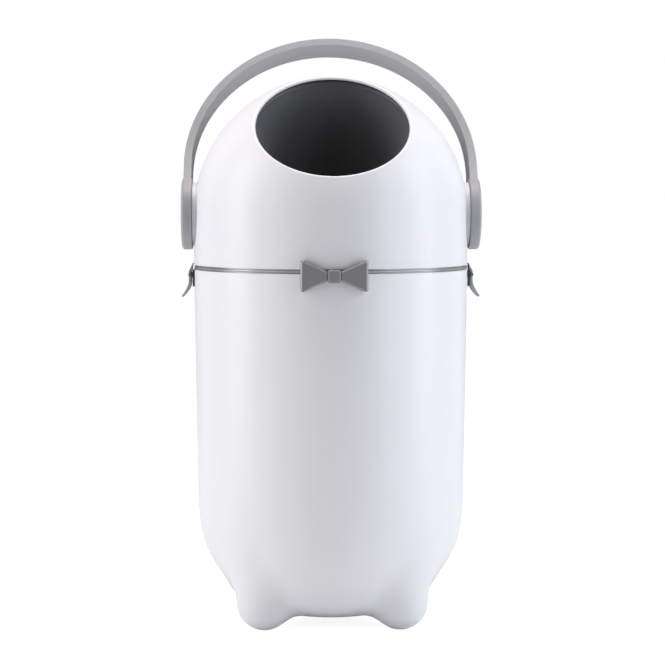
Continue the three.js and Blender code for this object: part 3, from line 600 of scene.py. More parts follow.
# %% [markdown]
# ## The drum and its axles
# Under the dome turns a dark ball with one round mouth and two flat ends. It is turned
# round the mouth's axis, like the dome. The flat ends, hubs and bores are then cut and
# joined, because they lie round the other axis, the one that the handle turns about.
# What shows through the hole is the smooth cup inside the ball, which holds the nappy:
# its walls flare towards the lip, where the lamps reach them, and darken further down.

# %% The drum
DRUM_MOUTH_RADIUS = 82 * MM
DRUM_LIP = 0.4 * MM
DRUM_RINGS = 64
DRUM_COLUMNS = 192
HUB_RADIUS = 20 * MM
HUB_END = DRUM_END - DRUM_WALL - 3.6 * MM
HUB_EDGE = 0.8 * MM
FLANGE_SCREW_CIRCLE = 12.2 * MM
FLANGE_SCREW_RADIUS = 1.2 * MM
FLANGE_SCREW_DEPTH = 3.2 * MM

rim_radius = DRUM_MOUTH_RADIUS + DRUM_LIP
rim = Vector((rim_radius, math.sqrt(DRUM_OUTER ** 2 - rim_radius ** 2)))
lip_line = [rim, Vector((DRUM_MOUTH_RADIUS, rim.y - DRUM_LIP))]
wall = ball_wall(DRUM_OUTER, DRUM_INNER, lip_line, rim_radius, DRUM_RINGS)
drum = turned(wall, PIVOT, MOUTH_WAY, DRUM_COLUMNS)
inner_rim = math.sqrt(DRUM_INNER ** 2 - (DRUM_END - DRUM_WALL) ** 2)
outer_rim = math.sqrt(DRUM_OUTER ** 2 - DRUM_END ** 2)
reach = DRUM_OUTER + OVERRUN
for side in SIDES.values():
    start, end = side * (DRUM_END - DRUM_WALL), side * (DRUM_END + OVERRUN)
    join(drum, rod_x((inner_rim + outer_rim) / 2, start, end, steps=96))
    low, high = sorted((side * DRUM_END, side * reach))
    cut(drum, slab((low, -reach, PIVOT.z - reach), (high, reach, PIVOT.z + reach)))
    start, end = side * (DRUM_END - DRUM_WALL / 2), side * HUB_END
    join(drum, rod_x(HUB_RADIUS, start, end, edge=HUB_EDGE, steps=64))
    cut(drum, rod_x(AXLE_RADIUS + GAP, side * (HUB_END - OVERRUN), side * reach))
    start, end = side * (HUB_END - OVERRUN), side * (HUB_END + FLANGE_SCREW_DEPTH + GAP)
    for place in (PIVOT.z - FLANGE_SCREW_CIRCLE, PIVOT.z + FLANGE_SCREW_CIRCLE):
        hole = rod_x(FLANGE_SCREW_RADIUS + GAP / 2, start, end, z=place, steps=16)
        cut(drum, lean_back(hole))

# %% The cup inside the drum
CUP_RADIUS = 76.8 * MM
CUP_WALL = 2.2 * MM
CUP_BOTTOM = -55 * MM
CUP_BOTTOM_HANDLE = 48 * MM
CUP_SIDE_HANDLE = 45 * MM
CUP_FLARE = 14 * MM
CUP_LIP = 3 * MM
CUP_RIM = 6 * MM
CUP_RIM_DEPTH = 4.5 * MM
CUP_ROWS = 40

rim_radius = CUP_RADIUS + CUP_RIM
rim_top = math.sqrt(DRUM_OUTER ** 2 - rim_radius ** 2) - DRUM_LIP
lip_top = math.sqrt(DRUM_OUTER ** 2 - CUP_RADIUS ** 2) - DRUM_LIP


def cup_side(radius, top, bottom):
    """The cup's side and bottom in one sweep, from its lip down to the axis."""
    start, end = Vector((radius, top)), Vector((0, bottom))
    flare = start - Vector((CUP_FLARE, CUP_SIDE_HANDLE))
    return [start] + bezier(start, flare, end + Vector((CUP_BOTTOM_HANDLE, 0)), end, CUP_ROWS)


inside = cup_side(CUP_RADIUS, lip_top - 2 * CUP_LIP, CUP_BOTTOM)
outside_line = cup_side(CUP_RADIUS + CUP_WALL, rim_top - CUP_RIM_DEPTH, CUP_BOTTOM - CUP_WALL)
lip = soften([
    (CUP_RADIUS, inside[0].y), (CUP_RADIUS, lip_top, CUP_LIP), (rim_radius, rim_top),
    (rim_radius, rim_top - CUP_RIM_DEPTH), (outside_line[0].x, outside_line[0].y),
], closed=False, steps=8)
profile = inside[::-1] + lip[1:] + outside_line[1:]
join(drum, turned(profile, PIVOT, MOUTH_WAY, DRUM_COLUMNS))
finish_piece(drum, "drum", weighted=False)

# %% [markdown]
# ### Axles, bushes and their screws
# A flanged steel pin is screwed to each hub, passes through a bush in the dome's boss and
# ends in two flats that key the handle. Turned parts are drawn as half a section with
# small chamfers and spun, as on a lathe. A cross recess is cut into each screw's head.

# %% Screws
def cross_recess(width, depth, centre, way):
    """Two crossed slabs that cut a screw's recess, at the head's middle."""
    arm = width / 4
    first = slab((-width / 2, -arm / 2, -depth), (width / 2, arm / 2, depth))
    second = slab((-arm / 2, -width / 2, -depth), (arm / 2, width / 2, depth))
    turn = AXIS_Z.rotation_difference(way).to_matrix().to_4x4()
    for tool in (first, second):
        tool.data.transform(Matrix.Translation(centre) @ turn)
    return first, second


def screw(head_radius, head, radius, length, centre, way):
    """A pan-head screw: centre is the middle of its head's top, way points down its shank."""
    profile = soften([
        (0, 0), (head_radius, 0, head * 0.6), (head_radius, head), (radius, head),
        (radius, length, radius / 2), (0, length),
    ], closed=False, steps=4)
    piece = turned(profile, centre, way, 32)
    cut(piece, *cross_recess(head_radius * 1.1, head / 2, centre, way))
    return piece


# %% Axle, bush and screws on each side
FLANGE_RADIUS = 16 * MM
FLANGE = 3 * MM
FLANGE_FACE = HUB_END - GAP
AXLE_FLAT = 6.2 * MM
DISC_INNER = BOSS_FACE + GAP
DISC_FLOOR = DISC_INNER + 5.2 * MM
AXLE_END = DISC_FLOOR - GAP
AXLE_SCREW_RADIUS = 2 * MM
AXLE_SCREW_HEAD_RADIUS = 8 * MM
AXLE_SCREW_HEAD = 2.2 * MM
AXLE_SCREW_DEPTH = 12 * MM
FLANGE_SCREW_HEAD_RADIUS = 2.4 * MM
FLANGE_SCREW_HEAD = 1.5 * MM
TURNED_EDGE = 0.5 * MM
BUSH_EDGE = 0.3 * MM

start = FLANGE_FACE - FLANGE
section = soften([
    (0, start), (FLANGE_RADIUS, start, TURNED_EDGE), (FLANGE_RADIUS, FLANGE_FACE, TURNED_EDGE),
    (AXLE_RADIUS, FLANGE_FACE), (AXLE_RADIUS, AXLE_END, TURNED_EDGE), (0, AXLE_END),
], closed=False, steps=4)
axle = turned(section, PIVOT, AXIS_X, 64)
for side in (-1, 1):
    low, high = sorted((side * AXLE_FLAT, side * 2 * AXLE_RADIUS))
    beyond = AXLE_END + OVERRUN
    bottom, top = PIVOT.z - FLANGE_RADIUS, PIVOT.z + FLANGE_RADIUS
    cut(axle, slab((BOSS_FACE, low, bottom), (beyond, high, top)))
    place = PIVOT.z + side * FLANGE_SCREW_CIRCLE
    cut(axle, rod_x(FLANGE_SCREW_RADIUS + GAP / 2, start - OVERRUN, HUB_END, z=place, steps=24))
thread_end = AXLE_END - AXLE_SCREW_DEPTH - GAP
cut(axle, rod_x(AXLE_SCREW_RADIUS + GAP / 2, thread_end, AXLE_END + OVERRUN, steps=24))
finish_pair(axle, "axle", leaning=True)

bore, flange, face = AXLE_RADIUS + GAP, BOSS_FACE - BUSH_FLANGE, BOSS_FACE - GAP / 2
section = soften([
    (bore, INNER_BOSS_END, BUSH_EDGE), (BUSH_OUTER, INNER_BOSS_END, BUSH_EDGE),
    (BUSH_OUTER, flange), (BUSH_FLANGE_RADIUS, flange, BUSH_EDGE),
    (BUSH_FLANGE_RADIUS, face, BUSH_EDGE), (bore, face, BUSH_EDGE),
], steps=3)
finish_pair(turned(section, PIVOT, AXIS_X, 64, closed=True), "axle_bush")

screw_top = FLANGE_FACE - FLANGE - GAP - FLANGE_SCREW_HEAD
length = HUB_END + FLANGE_SCREW_DEPTH - screw_top
for letter, place in {"a": -FLANGE_SCREW_CIRCLE, "b": FLANGE_SCREW_CIRCLE}.items():
    for name, side in SIDES.items():
        head = Vector((side * screw_top, 0, PIVOT.z + place))
        sizes = (FLANGE_SCREW_HEAD_RADIUS, FLANGE_SCREW_HEAD, FLANGE_SCREW_RADIUS, length)
        made = screw(*sizes, head, AXIS_X * side)
        finish_piece(lean_back(made), f"flange_screw_{name}_{letter}")

top = DISC_FLOOR + GAP + AXLE_SCREW_HEAD
length = top - (AXLE_END - AXLE_SCREW_DEPTH)
sizes = (AXLE_SCREW_HEAD_RADIUS, AXLE_SCREW_HEAD, AXLE_SCREW_RADIUS, length)
axle_screw = screw(*sizes, Vector((top, 0, PIVOT.z)), -AXIS_X)
finish_pair(axle_screw, "axle_screw", leaning=True)

# %% [markdown]
# ## The handle
# The handle is one moulding: a flat arch whose legs widen into round ends. Seen from the
# front it is a thin line of even width, seen from the side a broad leg that flares. Both
# outlines are pulled out and the two solids are intersected, as a pattern maker would
# saw a block from two sides. The edges are rounded before the round ends are joined on,
# so that the rounding runs clean along each of them.

# %% Arch and legs
HANDLE_WIDTH = 26 * MM
HANDLE_THICKNESS = 8 * MM
HANDLE_RISE = 50 * MM
FLARE_HEIGHT = 105 * MM
FLARE_WIDTH = 62 * MM
DISC_RADIUS = 36.5 * MM
DISC_OUTER = DISC_INNER + 10.6 * MM
LEG_INNER = DISC_INNER + 1.1 * MM
LEG_OUTER = LEG_INNER + HANDLE_THICKNESS
HANDLE_EDGE = 3.2 * MM
ARCH_STEPS = 120
FLARE_STEPS = 24

arch_height = PIVOT.z + HANDLE_RISE
outline = [Vector((LEG_OUTER, PIVOT.z)), *arc((0, arch_height), LEG_OUTER, 0, math.pi, ARCH_STEPS)]
outline += [Vector((-LEG_OUTER, PIVOT.z)), Vector((-LEG_INNER, PIVOT.z))]
outline += [*arc((0, arch_height), LEG_INNER, math.pi, 0, ARCH_STEPS), Vector((LEG_INNER, PIVOT.z))]
handle = pulled_y(outline, -DISC_RADIUS, DISC_RADIUS)

narrow, wide = HANDLE_WIDTH / 2, FLARE_WIDTH / 2
flare = []
for k in range(FLARE_STEPS + 1):
    t = k / FLARE_STEPS
    half = wide * (1 - t) ** 2 + narrow * (2 * t * (1 - t) + t * t)
    flare.append(Vector((half, PIVOT.z + FLARE_HEIGHT * t)))
top = arch_height + LEG_OUTER + OVERRUN
right_edge = [*flare, Vector((narrow, top))]
left_edge = [Vector((-p.x, p.y)) for p in reversed(right_edge)]
legs = pulled_x(right_edge + left_edge, -LEG_OUTER - OVERRUN, LEG_OUTER + OVERRUN)
boolean(handle, legs, "INTERSECT")
round_edges(handle, HANDLE_EDGE, steps=6, angle=45)
print("handle's height above the pivots:", round((top - OVERRUN - PIVOT.z) / MM, 1), "mm")

# %% Round ends, cap seats, key holes and stop slots
CAP_RADIUS = 30 * MM
CAP_THICKNESS = 2 * MM
CAP_LEDGE = 4 * MM
SEAT_CHAMFER = 0.4 * MM
TURN = math.radians(140)
SLOT_STEPS = 28
SLOT_END_STEPS = 8


def cap_seat(side):
    """A stepped cutter: the cap's seat with a small chamfer, and the recess behind it."""
    seat, floor, end = DISC_OUTER - CAP_THICKNESS - GAP, DISC_FLOOR, DISC_OUTER + OVERRUN
    wide, narrow, chamfer = CAP_RADIUS + GAP, CAP_RADIUS - CAP_LEDGE, CAP_RADIUS + GAP + SEAT_CHAMFER
    profile = [
        (0, floor), (narrow, floor), (narrow, seat), (wide, seat), (wide, DISC_OUTER - SEAT_CHAMFER),
        (chamfer, DISC_OUTER), (chamfer, end), (0, end),
    ]
    return turned(profile, PIVOT, AXIS_X * side, 128)


def key_hole(side):
    """A round hole with two flats."""
    low, high = sorted((side * (DISC_INNER - OVERRUN), side * (DISC_FLOOR + OVERRUN)))
    hole = rod_x(AXLE_RADIUS + GAP, low, high)
    half, reach = AXLE_FLAT + GAP, 2 * AXLE_RADIUS
    low, high = low - OVERRUN, high + OVERRUN
    flats = slab((low, -half, PIVOT.z - reach), (high, half, PIVOT.z + reach))
    boolean(hole, flats, "INTERSECT")
    return hole


def round_pivot(radius, angle):
    """A point in Y and Z round the pivot, its angle counted from the top towards the front."""
    return Vector((-radius * math.sin(angle), PIVOT.z + radius * math.cos(angle)))


def stop_slot(side):
    """The curved slot for the stop peg, as long as the handle's turn."""
    half = STOP_PEG_RADIUS + GAP
    last = math.pi + LEAN
    first = last - TURN
    line = []
    for radius, start, end in ((STOP_CIRCLE + half, first, last), (STOP_CIRCLE - half, last, first)):
        angles = (start + (end - start) * k / SLOT_STEPS for k in range(SLOT_STEPS + 1))
        line += [round_pivot(radius, angle) for angle in angles]
        middle = round_pivot(STOP_CIRCLE, end)
        spoke = line[-1] - middle
        for k in range(1, SLOT_END_STEPS):
            line.append(middle + Matrix.Rotation(math.pi * k / SLOT_END_STEPS, 2) @ spoke)
    low, high = sorted((side * (DISC_INNER - OVERRUN), side * (DISC_INNER + STOP_PEG_LENGTH + GAP)))
    return pulled_x(line, low, high)


for side in SIDES.values():
    start, end = side * DISC_INNER, side * DISC_OUTER
    join(handle, rod_x(DISC_RADIUS, start, end, edge=HANDLE_EDGE, root=HANDLE_EDGE / 2, steps=160))
    cut(handle, cap_seat(side), key_hole(side), stop_slot(side))
finish_piece(lean_back(handle), "handle")

# %% The caps over the axle screws
CAP_EDGE = 0.5 * MM
CAP_DISH_RADIUS = 24 * MM
CAP_DISH = 0.4 * MM

inner, outer = DISC_OUTER - CAP_THICKNESS, DISC_OUTER
section = soften([
    (0, inner), (CAP_RADIUS, inner, CAP_EDGE), (CAP_RADIUS, outer, CAP_EDGE),
    (CAP_DISH_RADIUS, outer, CAP_EDGE), (CAP_DISH_RADIUS - CAP_EDGE, outer - CAP_DISH, CAP_EDGE / 2),
    (0, outer - CAP_DISH),
], closed=False, steps=4)
finish_pair(turned(section, PIVOT, AXIS_X, 128), "handle_cap")

# %% [markdown]
# ## The grey ring, its seal and the wiper
# Between bin and dome shows a thin half-round bead with a dark groove above and below.
# It belongs to a ring that stands up inside the dome and reaches down inside the bin.
# A rubber seal lies in a groove round its spigot, and a rubber wiper under its floor
# follows the drum. All three are closed sections turned round the bin's axis.

# %% Ring
RING_COLUMNS = 256
BEAD_HEIGHT = 2.6 * MM
BEAD_RADIUS = BODY_RADIUS - 0.1 * MM
GROOVE_DEPTH = 1.5 * MM
BEAD_STEPS = 16
RING_WALL = 2 * MM
UPSTAND = 6.7 * MM
SPIGOT_DEPTH = 10.8 * MM
SPIGOT_GAP = 0.6 * MM
RING_FLOOR = 2.2 * MM
SEAL_GROOVE = 0.9 * MM
SEAL_HEIGHT = 2 * MM
SEAL_RISE = 1.6 * MM
WIPER_REACH = 5 * MM
RING_EDGE = 0.4 * MM

spigot = BODY_RADIUS - BIN_WALL - SPIGOT_GAP
floor_height = BIN_TOP - SPIGOT_DEPTH


def drum_radius_at(height):
    return math.sqrt(DRUM_OUTER ** 2 - (PIVOT.z - height) ** 2)


floor_edge = drum_radius_at(floor_height) + WIPER_REACH
groove = BEAD_RADIUS - GROOVE_DEPTH
seal_low = floor_height + SEAL_RISE
seal_high = seal_low + SEAL_HEIGHT + 2 * GAP
seal_floor = spigot - SEAL_GROOVE - GAP
stand = DOME_INNER - GAP
section = soften([
    (floor_edge, floor_height), (spigot, floor_height, RING_EDGE), (spigot, seal_low),
    (seal_floor, seal_low), (seal_floor, seal_high), (spigot, seal_high), (spigot, BIN_TOP + GAP),
    (groove, BIN_TOP + GAP),
], closed=False, steps=3)
for k in range(BEAD_STEPS + 1):
    angle = math.pi * (k / BEAD_STEPS - 1 / 2)
    height = JOINT_HEIGHT + BEAD_HEIGHT / 2 * math.sin(angle)
    section.append(Vector((groove + GROOVE_DEPTH * math.cos(angle), height)))
section += soften([
    (groove, DOME_BOTTOM - GAP), (stand, DOME_BOTTOM - GAP), (stand, DOME_BOTTOM + UPSTAND, RING_EDGE),
    (stand - RING_WALL, DOME_BOTTOM + UPSTAND, RING_EDGE), (stand - RING_WALL, JOINT_HEIGHT),
    (spigot - RING_WALL, BIN_TOP + GAP), (spigot - RING_WALL, floor_height + RING_FLOOR),
    (floor_edge, floor_height + RING_FLOOR),
], closed=False, steps=3)
ring = turned(section, steps=RING_COLUMNS, closed=True)
for x in (-BOW_SCREW_SPREAD, BOW_SCREW_SPREAD):
    start, end = -BODY_RADIUS, OVERRUN - DRUM_END
    cut(ring, rod_y(BOW_SCREW_RADIUS + GAP, start, end, x, BOW_SCREW_HEIGHT, steps=24))
finish_piece(ring, "lid_ring", weighted=False)

# %% Seal and wiper
WIPER_FLANGE = 4 * MM
WIPER_THICKNESS = 1.4 * MM
WIPER_LIP = 0.9 * MM
WIPER_GAP = 0.5 * MM
RUBBER_EDGE = 0.3 * MM

low = seal_low + GAP
high = low + SEAL_HEIGHT
inner, outer = spigot - SEAL_GROOVE, spigot + SPIGOT_GAP - RUNNING_GAP
section = soften([
    (inner, low), (outer - GAP, low, RUBBER_EDGE), (outer, (low + high) / 2, RUBBER_EDGE),
    (outer - GAP, high, RUBBER_EDGE), (inner, high),
], steps=3)
finish_piece(turned(section, steps=RING_COLUMNS, closed=True), "lid_seal", weighted=False)

edge = floor_edge - GAP
low = floor_height - GAP - WIPER_THICKNESS
high = floor_height + RING_FLOOR + WIPER_LIP
section = soften([
    (drum_radius_at(low) + WIPER_GAP, low, RUBBER_EDGE), (edge + WIPER_FLANGE, low, RUBBER_EDGE),
    (edge + WIPER_FLANGE, floor_height - GAP, RUBBER_EDGE), (edge, floor_height - GAP),
    (edge, high, RUBBER_EDGE), (drum_radius_at(high) + WIPER_GAP, high, RUBBER_EDGE),
], steps=3)
finish_piece(turned(section, steps=RING_COLUMNS, closed=True), "drum_wiper", weighted=False)

# %% [markdown]
# ## The bow
# The bow covers the ring's joint on the front. Its two wings are one flat moulding with
# chamfered edges, hollowed behind to hug the round body, and the knot is a small cushion that
# plugs into it. The outline is drawn, pulled back, rounded, and cut with a round pillar.

# %% Wings
BOW_WIDTH = 65 * MM
BOW_HEIGHT = 32.4 * MM
BOW_WAIST = 9.4 * MM
BOW_DROP = 4 * MM
BOW_PROUD = 6.2 * MM
BOW_EDGE = 1.7 * MM
BOW_CORNER = 2.2 * MM
BOW_BRIDGE = 1.8 * MM
KNOT_WIDTH = 13 * MM
KNOT_HEIGHT = 12.6 * MM
KNOT_PROUD = 6.9 * MM
KNOT_EDGE = 3 * MM
KNOT_RISE = -0.2 * MM
KNOT_PEG_RADIUS = 1.6 * MM
KNOT_PEG_EDGE = 0.3 * MM
BOW_SCREW_BITE = 4.2 * MM
PILLAR_STEPS = 512

bow_height = JOINT_HEIGHT - BOW_DROP
half, tall, waist, inner = BOW_WIDTH / 2, BOW_HEIGHT / 2, BOW_WAIST / 2, KNOT_WIDTH / 2
outline = [Vector((p.x, p.y + bow_height)) for p in soften([
    (-half, -tall, BOW_CORNER), (-inner, -waist), (inner, -waist), (half, -tall, BOW_CORNER),
    (half, tall, BOW_CORNER), (inner, waist), (-inner, waist), (-half, tall, BOW_CORNER),
])]
front = -(BODY_RADIUS + BOW_PROUD)
hug = BODY_RADIUS - math.sqrt(BODY_RADIUS ** 2 - half ** 2)
bow = pulled_y(outline, front, OVERRUN + hug - BODY_RADIUS)
round_edges(bow, BOW_EDGE, steps=1, angle=50)


def back_pillar(low, high):
    return rod(BODY_RADIUS + GAP, (0, 0, low), (0, 0, high), steps=PILLAR_STEPS)


cut(bow, back_pillar(bow_height - BOW_HEIGHT, bow_height + BOW_HEIGHT))
bridge = -(BODY_RADIUS + GAP + BOW_BRIDGE)
side, reach = inner + GAP, BOW_HEIGHT
bottom, top = bow_height - reach, bow_height + reach
cut(bow, slab((-side, front - OVERRUN, bottom), (side, bridge, top)))
cut(bow, rod_y(KNOT_PEG_RADIUS + GAP, front - OVERRUN, -DRUM_END, 0, bow_height, steps=24))
screw_tip = -math.sqrt(BODY_RADIUS ** 2 - BOW_SCREW_SPREAD ** 2) - BOW_SCREW_BITE
for x in (-BOW_SCREW_SPREAD, BOW_SCREW_SPREAD):
    start, end = screw_tip - GAP, -DRUM_END
    cut(bow, rod_y(BOW_SCREW_RADIUS + GAP, start, end, x, BOW_SCREW_HEIGHT, steps=24))
finish_piece(bow, "bow_wings")

# %% Knot and the bow's screws
BOW_SCREW_HEAD_RADIUS = 2.6 * MM
BOW_SCREW_HEAD = 1.8 * MM

front = -(BODY_RADIUS + KNOT_PROUD)
depth = KNOT_PROUD - BOW_BRIDGE - 2 * GAP
tall = KNOT_HEIGHT / 2
knot_height = bow_height + KNOT_RISE
bottom, top = knot_height - tall, knot_height + tall
knot = slab((-inner, front, bottom), (inner, front + depth, top))
round_edges(knot, KNOT_EDGE, steps=6)
peg_start, peg_end = front + depth / 2, front + depth + BOW_BRIDGE
peg = rod_y(KNOT_PEG_RADIUS, peg_start, peg_end, 0, bow_height, edge=KNOT_PEG_EDGE, steps=24)
join(knot, peg)
finish_piece(knot, "bow_knot")

ring_inner = DOME_INNER - GAP - RING_WALL
screw_face = GAP - math.sqrt(ring_inner ** 2 - (BOW_SCREW_SPREAD + BOW_SCREW_HEAD_RADIUS) ** 2)
for name, side in SIDES.items():
    head = Vector((side * BOW_SCREW_SPREAD, screw_face + BOW_SCREW_HEAD, BOW_SCREW_HEIGHT))
    sizes = (BOW_SCREW_HEAD_RADIUS, BOW_SCREW_HEAD, BOW_SCREW_RADIUS, head.y - screw_tip)
    finish_piece(screw(*sizes, head, -AXIS_Y), f"bow_screw_{name}")

# %% [markdown]
# ## The side clips
# A small lever rocks on a pin at each side. Its top hooks over the ring's bead, its tail
# flares out for the thumb. It is seen edge-on in front, so its outline is drawn from the
# side with arcs, pulled out over its width and trimmed to the shape of its face. The
# bracket behind it is kept slim, so that a thin light gap shows between the two.

# %% Lever
CLIP_PIVOT = BODY_RADIUS + 4 * MM
CLIP_BARREL = 1.6 * MM
CLIP_WIDTH = 24 * MM
CLIP_PLATE = 2.6 * MM
CLIP_PLATE_STAND = 5.2 * MM
CLIP_STEM_STAND = 1.6 * MM
CLIP_HOOK_ANGLE = math.radians(8)
CLIP_NOSE_STAND = 0.5 * MM
CLIP_TAIL_STAND = 12.6 * MM
CLIP_TAIL = JOINT_HEIGHT - 31 * MM
CLIP_BEND = JOINT_HEIGHT - 15.5 * MM
CLIP_SHOULDER = JOINT_HEIGHT - 4.4 * MM
CLIP_EDGE = 0.5 * MM
CLIP_PIN_RADIUS = 1.1 * MM
BEND_STEPS = 14

bead_top = JOINT_HEIGHT + BEAD_HEIGHT / 2
inward = CLIP_PIVOT - BODY_RADIUS - CLIP_NOSE_STAND
wanted = bead_top + GAP - CLIP_PIVOT_HEIGHT
nose_rise = (wanted + inward * math.sin(CLIP_HOOK_ANGLE)) / math.cos(CLIP_HOOK_ANGLE)
nose_bottom = CLIP_PIVOT_HEIGHT + nose_rise
nose_top = nose_bottom + CLIP_NOSE
nose, stem = BODY_RADIUS + CLIP_NOSE_STAND, BODY_RADIUS + CLIP_STEM_STAND
plate_outer = BODY_RADIUS + CLIP_PLATE_STAND
plate_inner = plate_outer - CLIP_PLATE
tail_outer = BODY_RADIUS + CLIP_TAIL_STAND


def bend(start, control, end):
    """A quadratic curve, its start left out."""
    start, control, end = Vector(start), Vector(control), Vector(end)
    return bezier(start, start.lerp(control, 2 / 3), end.lerp(control, 2 / 3), end, BEND_STEPS)


middle = (CLIP_BEND + CLIP_TAIL) / 2
half_plate = CLIP_PLATE / 2
outline = [Vector(p) for p in (
    (nose, nose_bottom), (stem, nose_bottom), (stem, CLIP_SHOULDER + CLIP_PLATE),
    (plate_inner, CLIP_SHOULDER), (plate_inner, CLIP_BEND),
)]
outline += bend(outline[-1], (plate_inner, middle), (tail_outer - half_plate, CLIP_TAIL))
outline.append(Vector((tail_outer, CLIP_TAIL + half_plate)))
outline += bend(outline[-1], (plate_outer + half_plate, middle + half_plate), (plate_outer, CLIP_BEND))
outline += [Vector(p) for p in ((plate_outer, CLIP_SHOULDER), (stem, nose_top), (nose, nose_top))]

half, nose_half = CLIP_WIDTH / 2, CLIP_NOSE_WIDTH / 2
clip = pulled_y(outline, -half - GAP, half + GAP)
low, high = CLIP_TAIL - GAP, nose_top + GAP
face = soften([
    (-nose_half, high), (-nose_half, bead_top, MM), (-half, CLIP_SHOULDER, MM),
    (-half, low, CLIP_PLATE), (half, low, CLIP_PLATE),
    (half, CLIP_SHOULDER, MM), (nose_half, bead_top, MM), (nose_half, high),
], steps=5)
boolean(clip, pulled_x(face, BODY_RADIUS - OVERRUN, tail_outer + OVERRUN), "INTERSECT")
round_edges(clip, CLIP_EDGE, angle=50)
pin_line = (CLIP_PIVOT, CLIP_PIVOT_HEIGHT)
join(clip, rod_y(CLIP_BARREL, -half, half, *pin_line, edge=GAP, root=GAP))
reach = half + OVERRUN
cut(clip, rod_y(CLIP_PIN_RADIUS + GAP, -reach, reach, *pin_line))
finish_pair(clip, "clip")

# %% Bracket, pin and screws behind each clip
EAR_WIDTH = 5 * MM
EAR_RADIUS = 1.6 * MM
BRACKET_PLATE = 1.2 * MM
BRACKET_RAIL = 0.7 * MM
BRACKET_RISE = 6 * MM
BRACKET_DROP = 12 * MM
BRACKET_EDGE = 0.35 * MM
BRACKET_SCREW_HEAD = 1.1 * MM
BRACKET_SCREW_DEPTH = 1.6 * MM

back, rail = BODY_RADIUS - OVERRUN, BODY_RADIUS + GAP + BRACKET_RAIL
low, high = CLIP_PIVOT_HEIGHT - BRACKET_DROP, CLIP_PIVOT_HEIGHT + BRACKET_RISE
ear_low, ear_high = CLIP_PIVOT_HEIGHT - EAR_RADIUS, CLIP_PIVOT_HEIGHT + EAR_RADIUS
ear = [Vector(p) for p in (
    (back, low), (rail - BRACKET_RAIL / 2, low), (rail, low + BRACKET_RAIL), (rail, ear_low),
)]
ear += arc(pin_line, EAR_RADIUS, -math.pi / 2, math.pi / 2, 16)
ear += [Vector(p) for p in ((rail, ear_high), (rail, high - BRACKET_RAIL), (back, high))]
inner = CLIP_WIDTH / 2 + RUNNING_GAP
outer = inner + EAR_WIDTH
bracket = pulled_y(ear, inner, outer)
other = pulled_y(ear, -outer, -inner)
for part in (bracket, other):
    round_edges(part, BRACKET_EDGE, steps=2, angle=50)
reach = CLIP_BARREL + BRACKET_PLATE
plate_face = BODY_RADIUS + GAP + BRACKET_PLATE
bottom, top = CLIP_PIVOT_HEIGHT - reach, CLIP_PIVOT_HEIGHT + reach
plate = slab((back, -inner - GAP, bottom), (plate_face, inner + GAP, top))
join(bracket, other, plate)
cut(bracket, back_pillar(low - OVERRUN, high + OVERRUN))
reach = outer + OVERRUN
cut(bracket, rod_y(CLIP_PIN_RADIUS + GAP / 2, -reach, reach, *pin_line))
thread, thread_end = BRACKET_SCREW_RADIUS + GAP / 2, BODY_RADIUS + BRACKET_SCREW_DEPTH + GAP
for y in (-BRACKET_SCREW_SPREAD, BRACKET_SCREW_SPREAD):
    cut(bracket, rod_x(thread, back, thread_end, y, CLIP_PIVOT_HEIGHT, steps=24))
finish_pair(bracket, "clip_bracket")

end = outer - GAP
pin = rod_y(CLIP_PIN_RADIUS, -end, end, *pin_line, edge=GAP, root=GAP)
finish_pair(pin, "clip_pin")

head_top = BRACKET_WALL_INNER + BRACKET_SCREW_SINK - GAP - BRACKET_SCREW_HEAD
sizes = (BRACKET_SCREW_HEAD_RADIUS, BRACKET_SCREW_HEAD, BRACKET_SCREW_RADIUS)
length = BODY_RADIUS + BRACKET_SCREW_DEPTH - head_top
for name, side in SIDES.items():
    for letter, y in {"a": -BRACKET_SCREW_SPREAD, "b": BRACKET_SCREW_SPREAD}.items():
        head = Vector((side * head_top, side * y, CLIP_PIVOT_HEIGHT))
        made = screw(*sizes, length, head, AXIS_X * side)
        finish_piece(made, f"bracket_screw_{name}_{letter}")

# %% [markdown]
# ## Finishes
# Each finish starts from the real material and how it was made, except the brackets'
# near-black, which is painted shade. A moulded surface is never one flat colour: its gloss
# wanders where the melt cooled unevenly, and a fine texture breaks the highlight. The
# patterns read Object coordinates in real millimetres.

# %% Colour and node helpers
MOTTLE = 60 * MM


def linear(code):
    """An sRGB hex colour as linear RGBA."""
    channels = [int(code[i:i + 2], 16) / 255 for i in (1, 3, 5)]
    return [c / 12.92 if c <= 0.04045 else ((c + 0.055) / 1.055) ** 2.4 for c in channels] + [1]


def add_node(tree, kind, inputs=None, **settings):
    """A node with its settings, its input values and its links."""
    node = tree.nodes.new(kind)
    for key, value in settings.items():
        setattr(node, key, value)
    for key, value in (inputs or {}).items():
        if isinstance(value, bpy.types.NodeSocket):
            tree.links.new(value, node.inputs[key])
        else:
            node.inputs[key].default_value = value
    return node


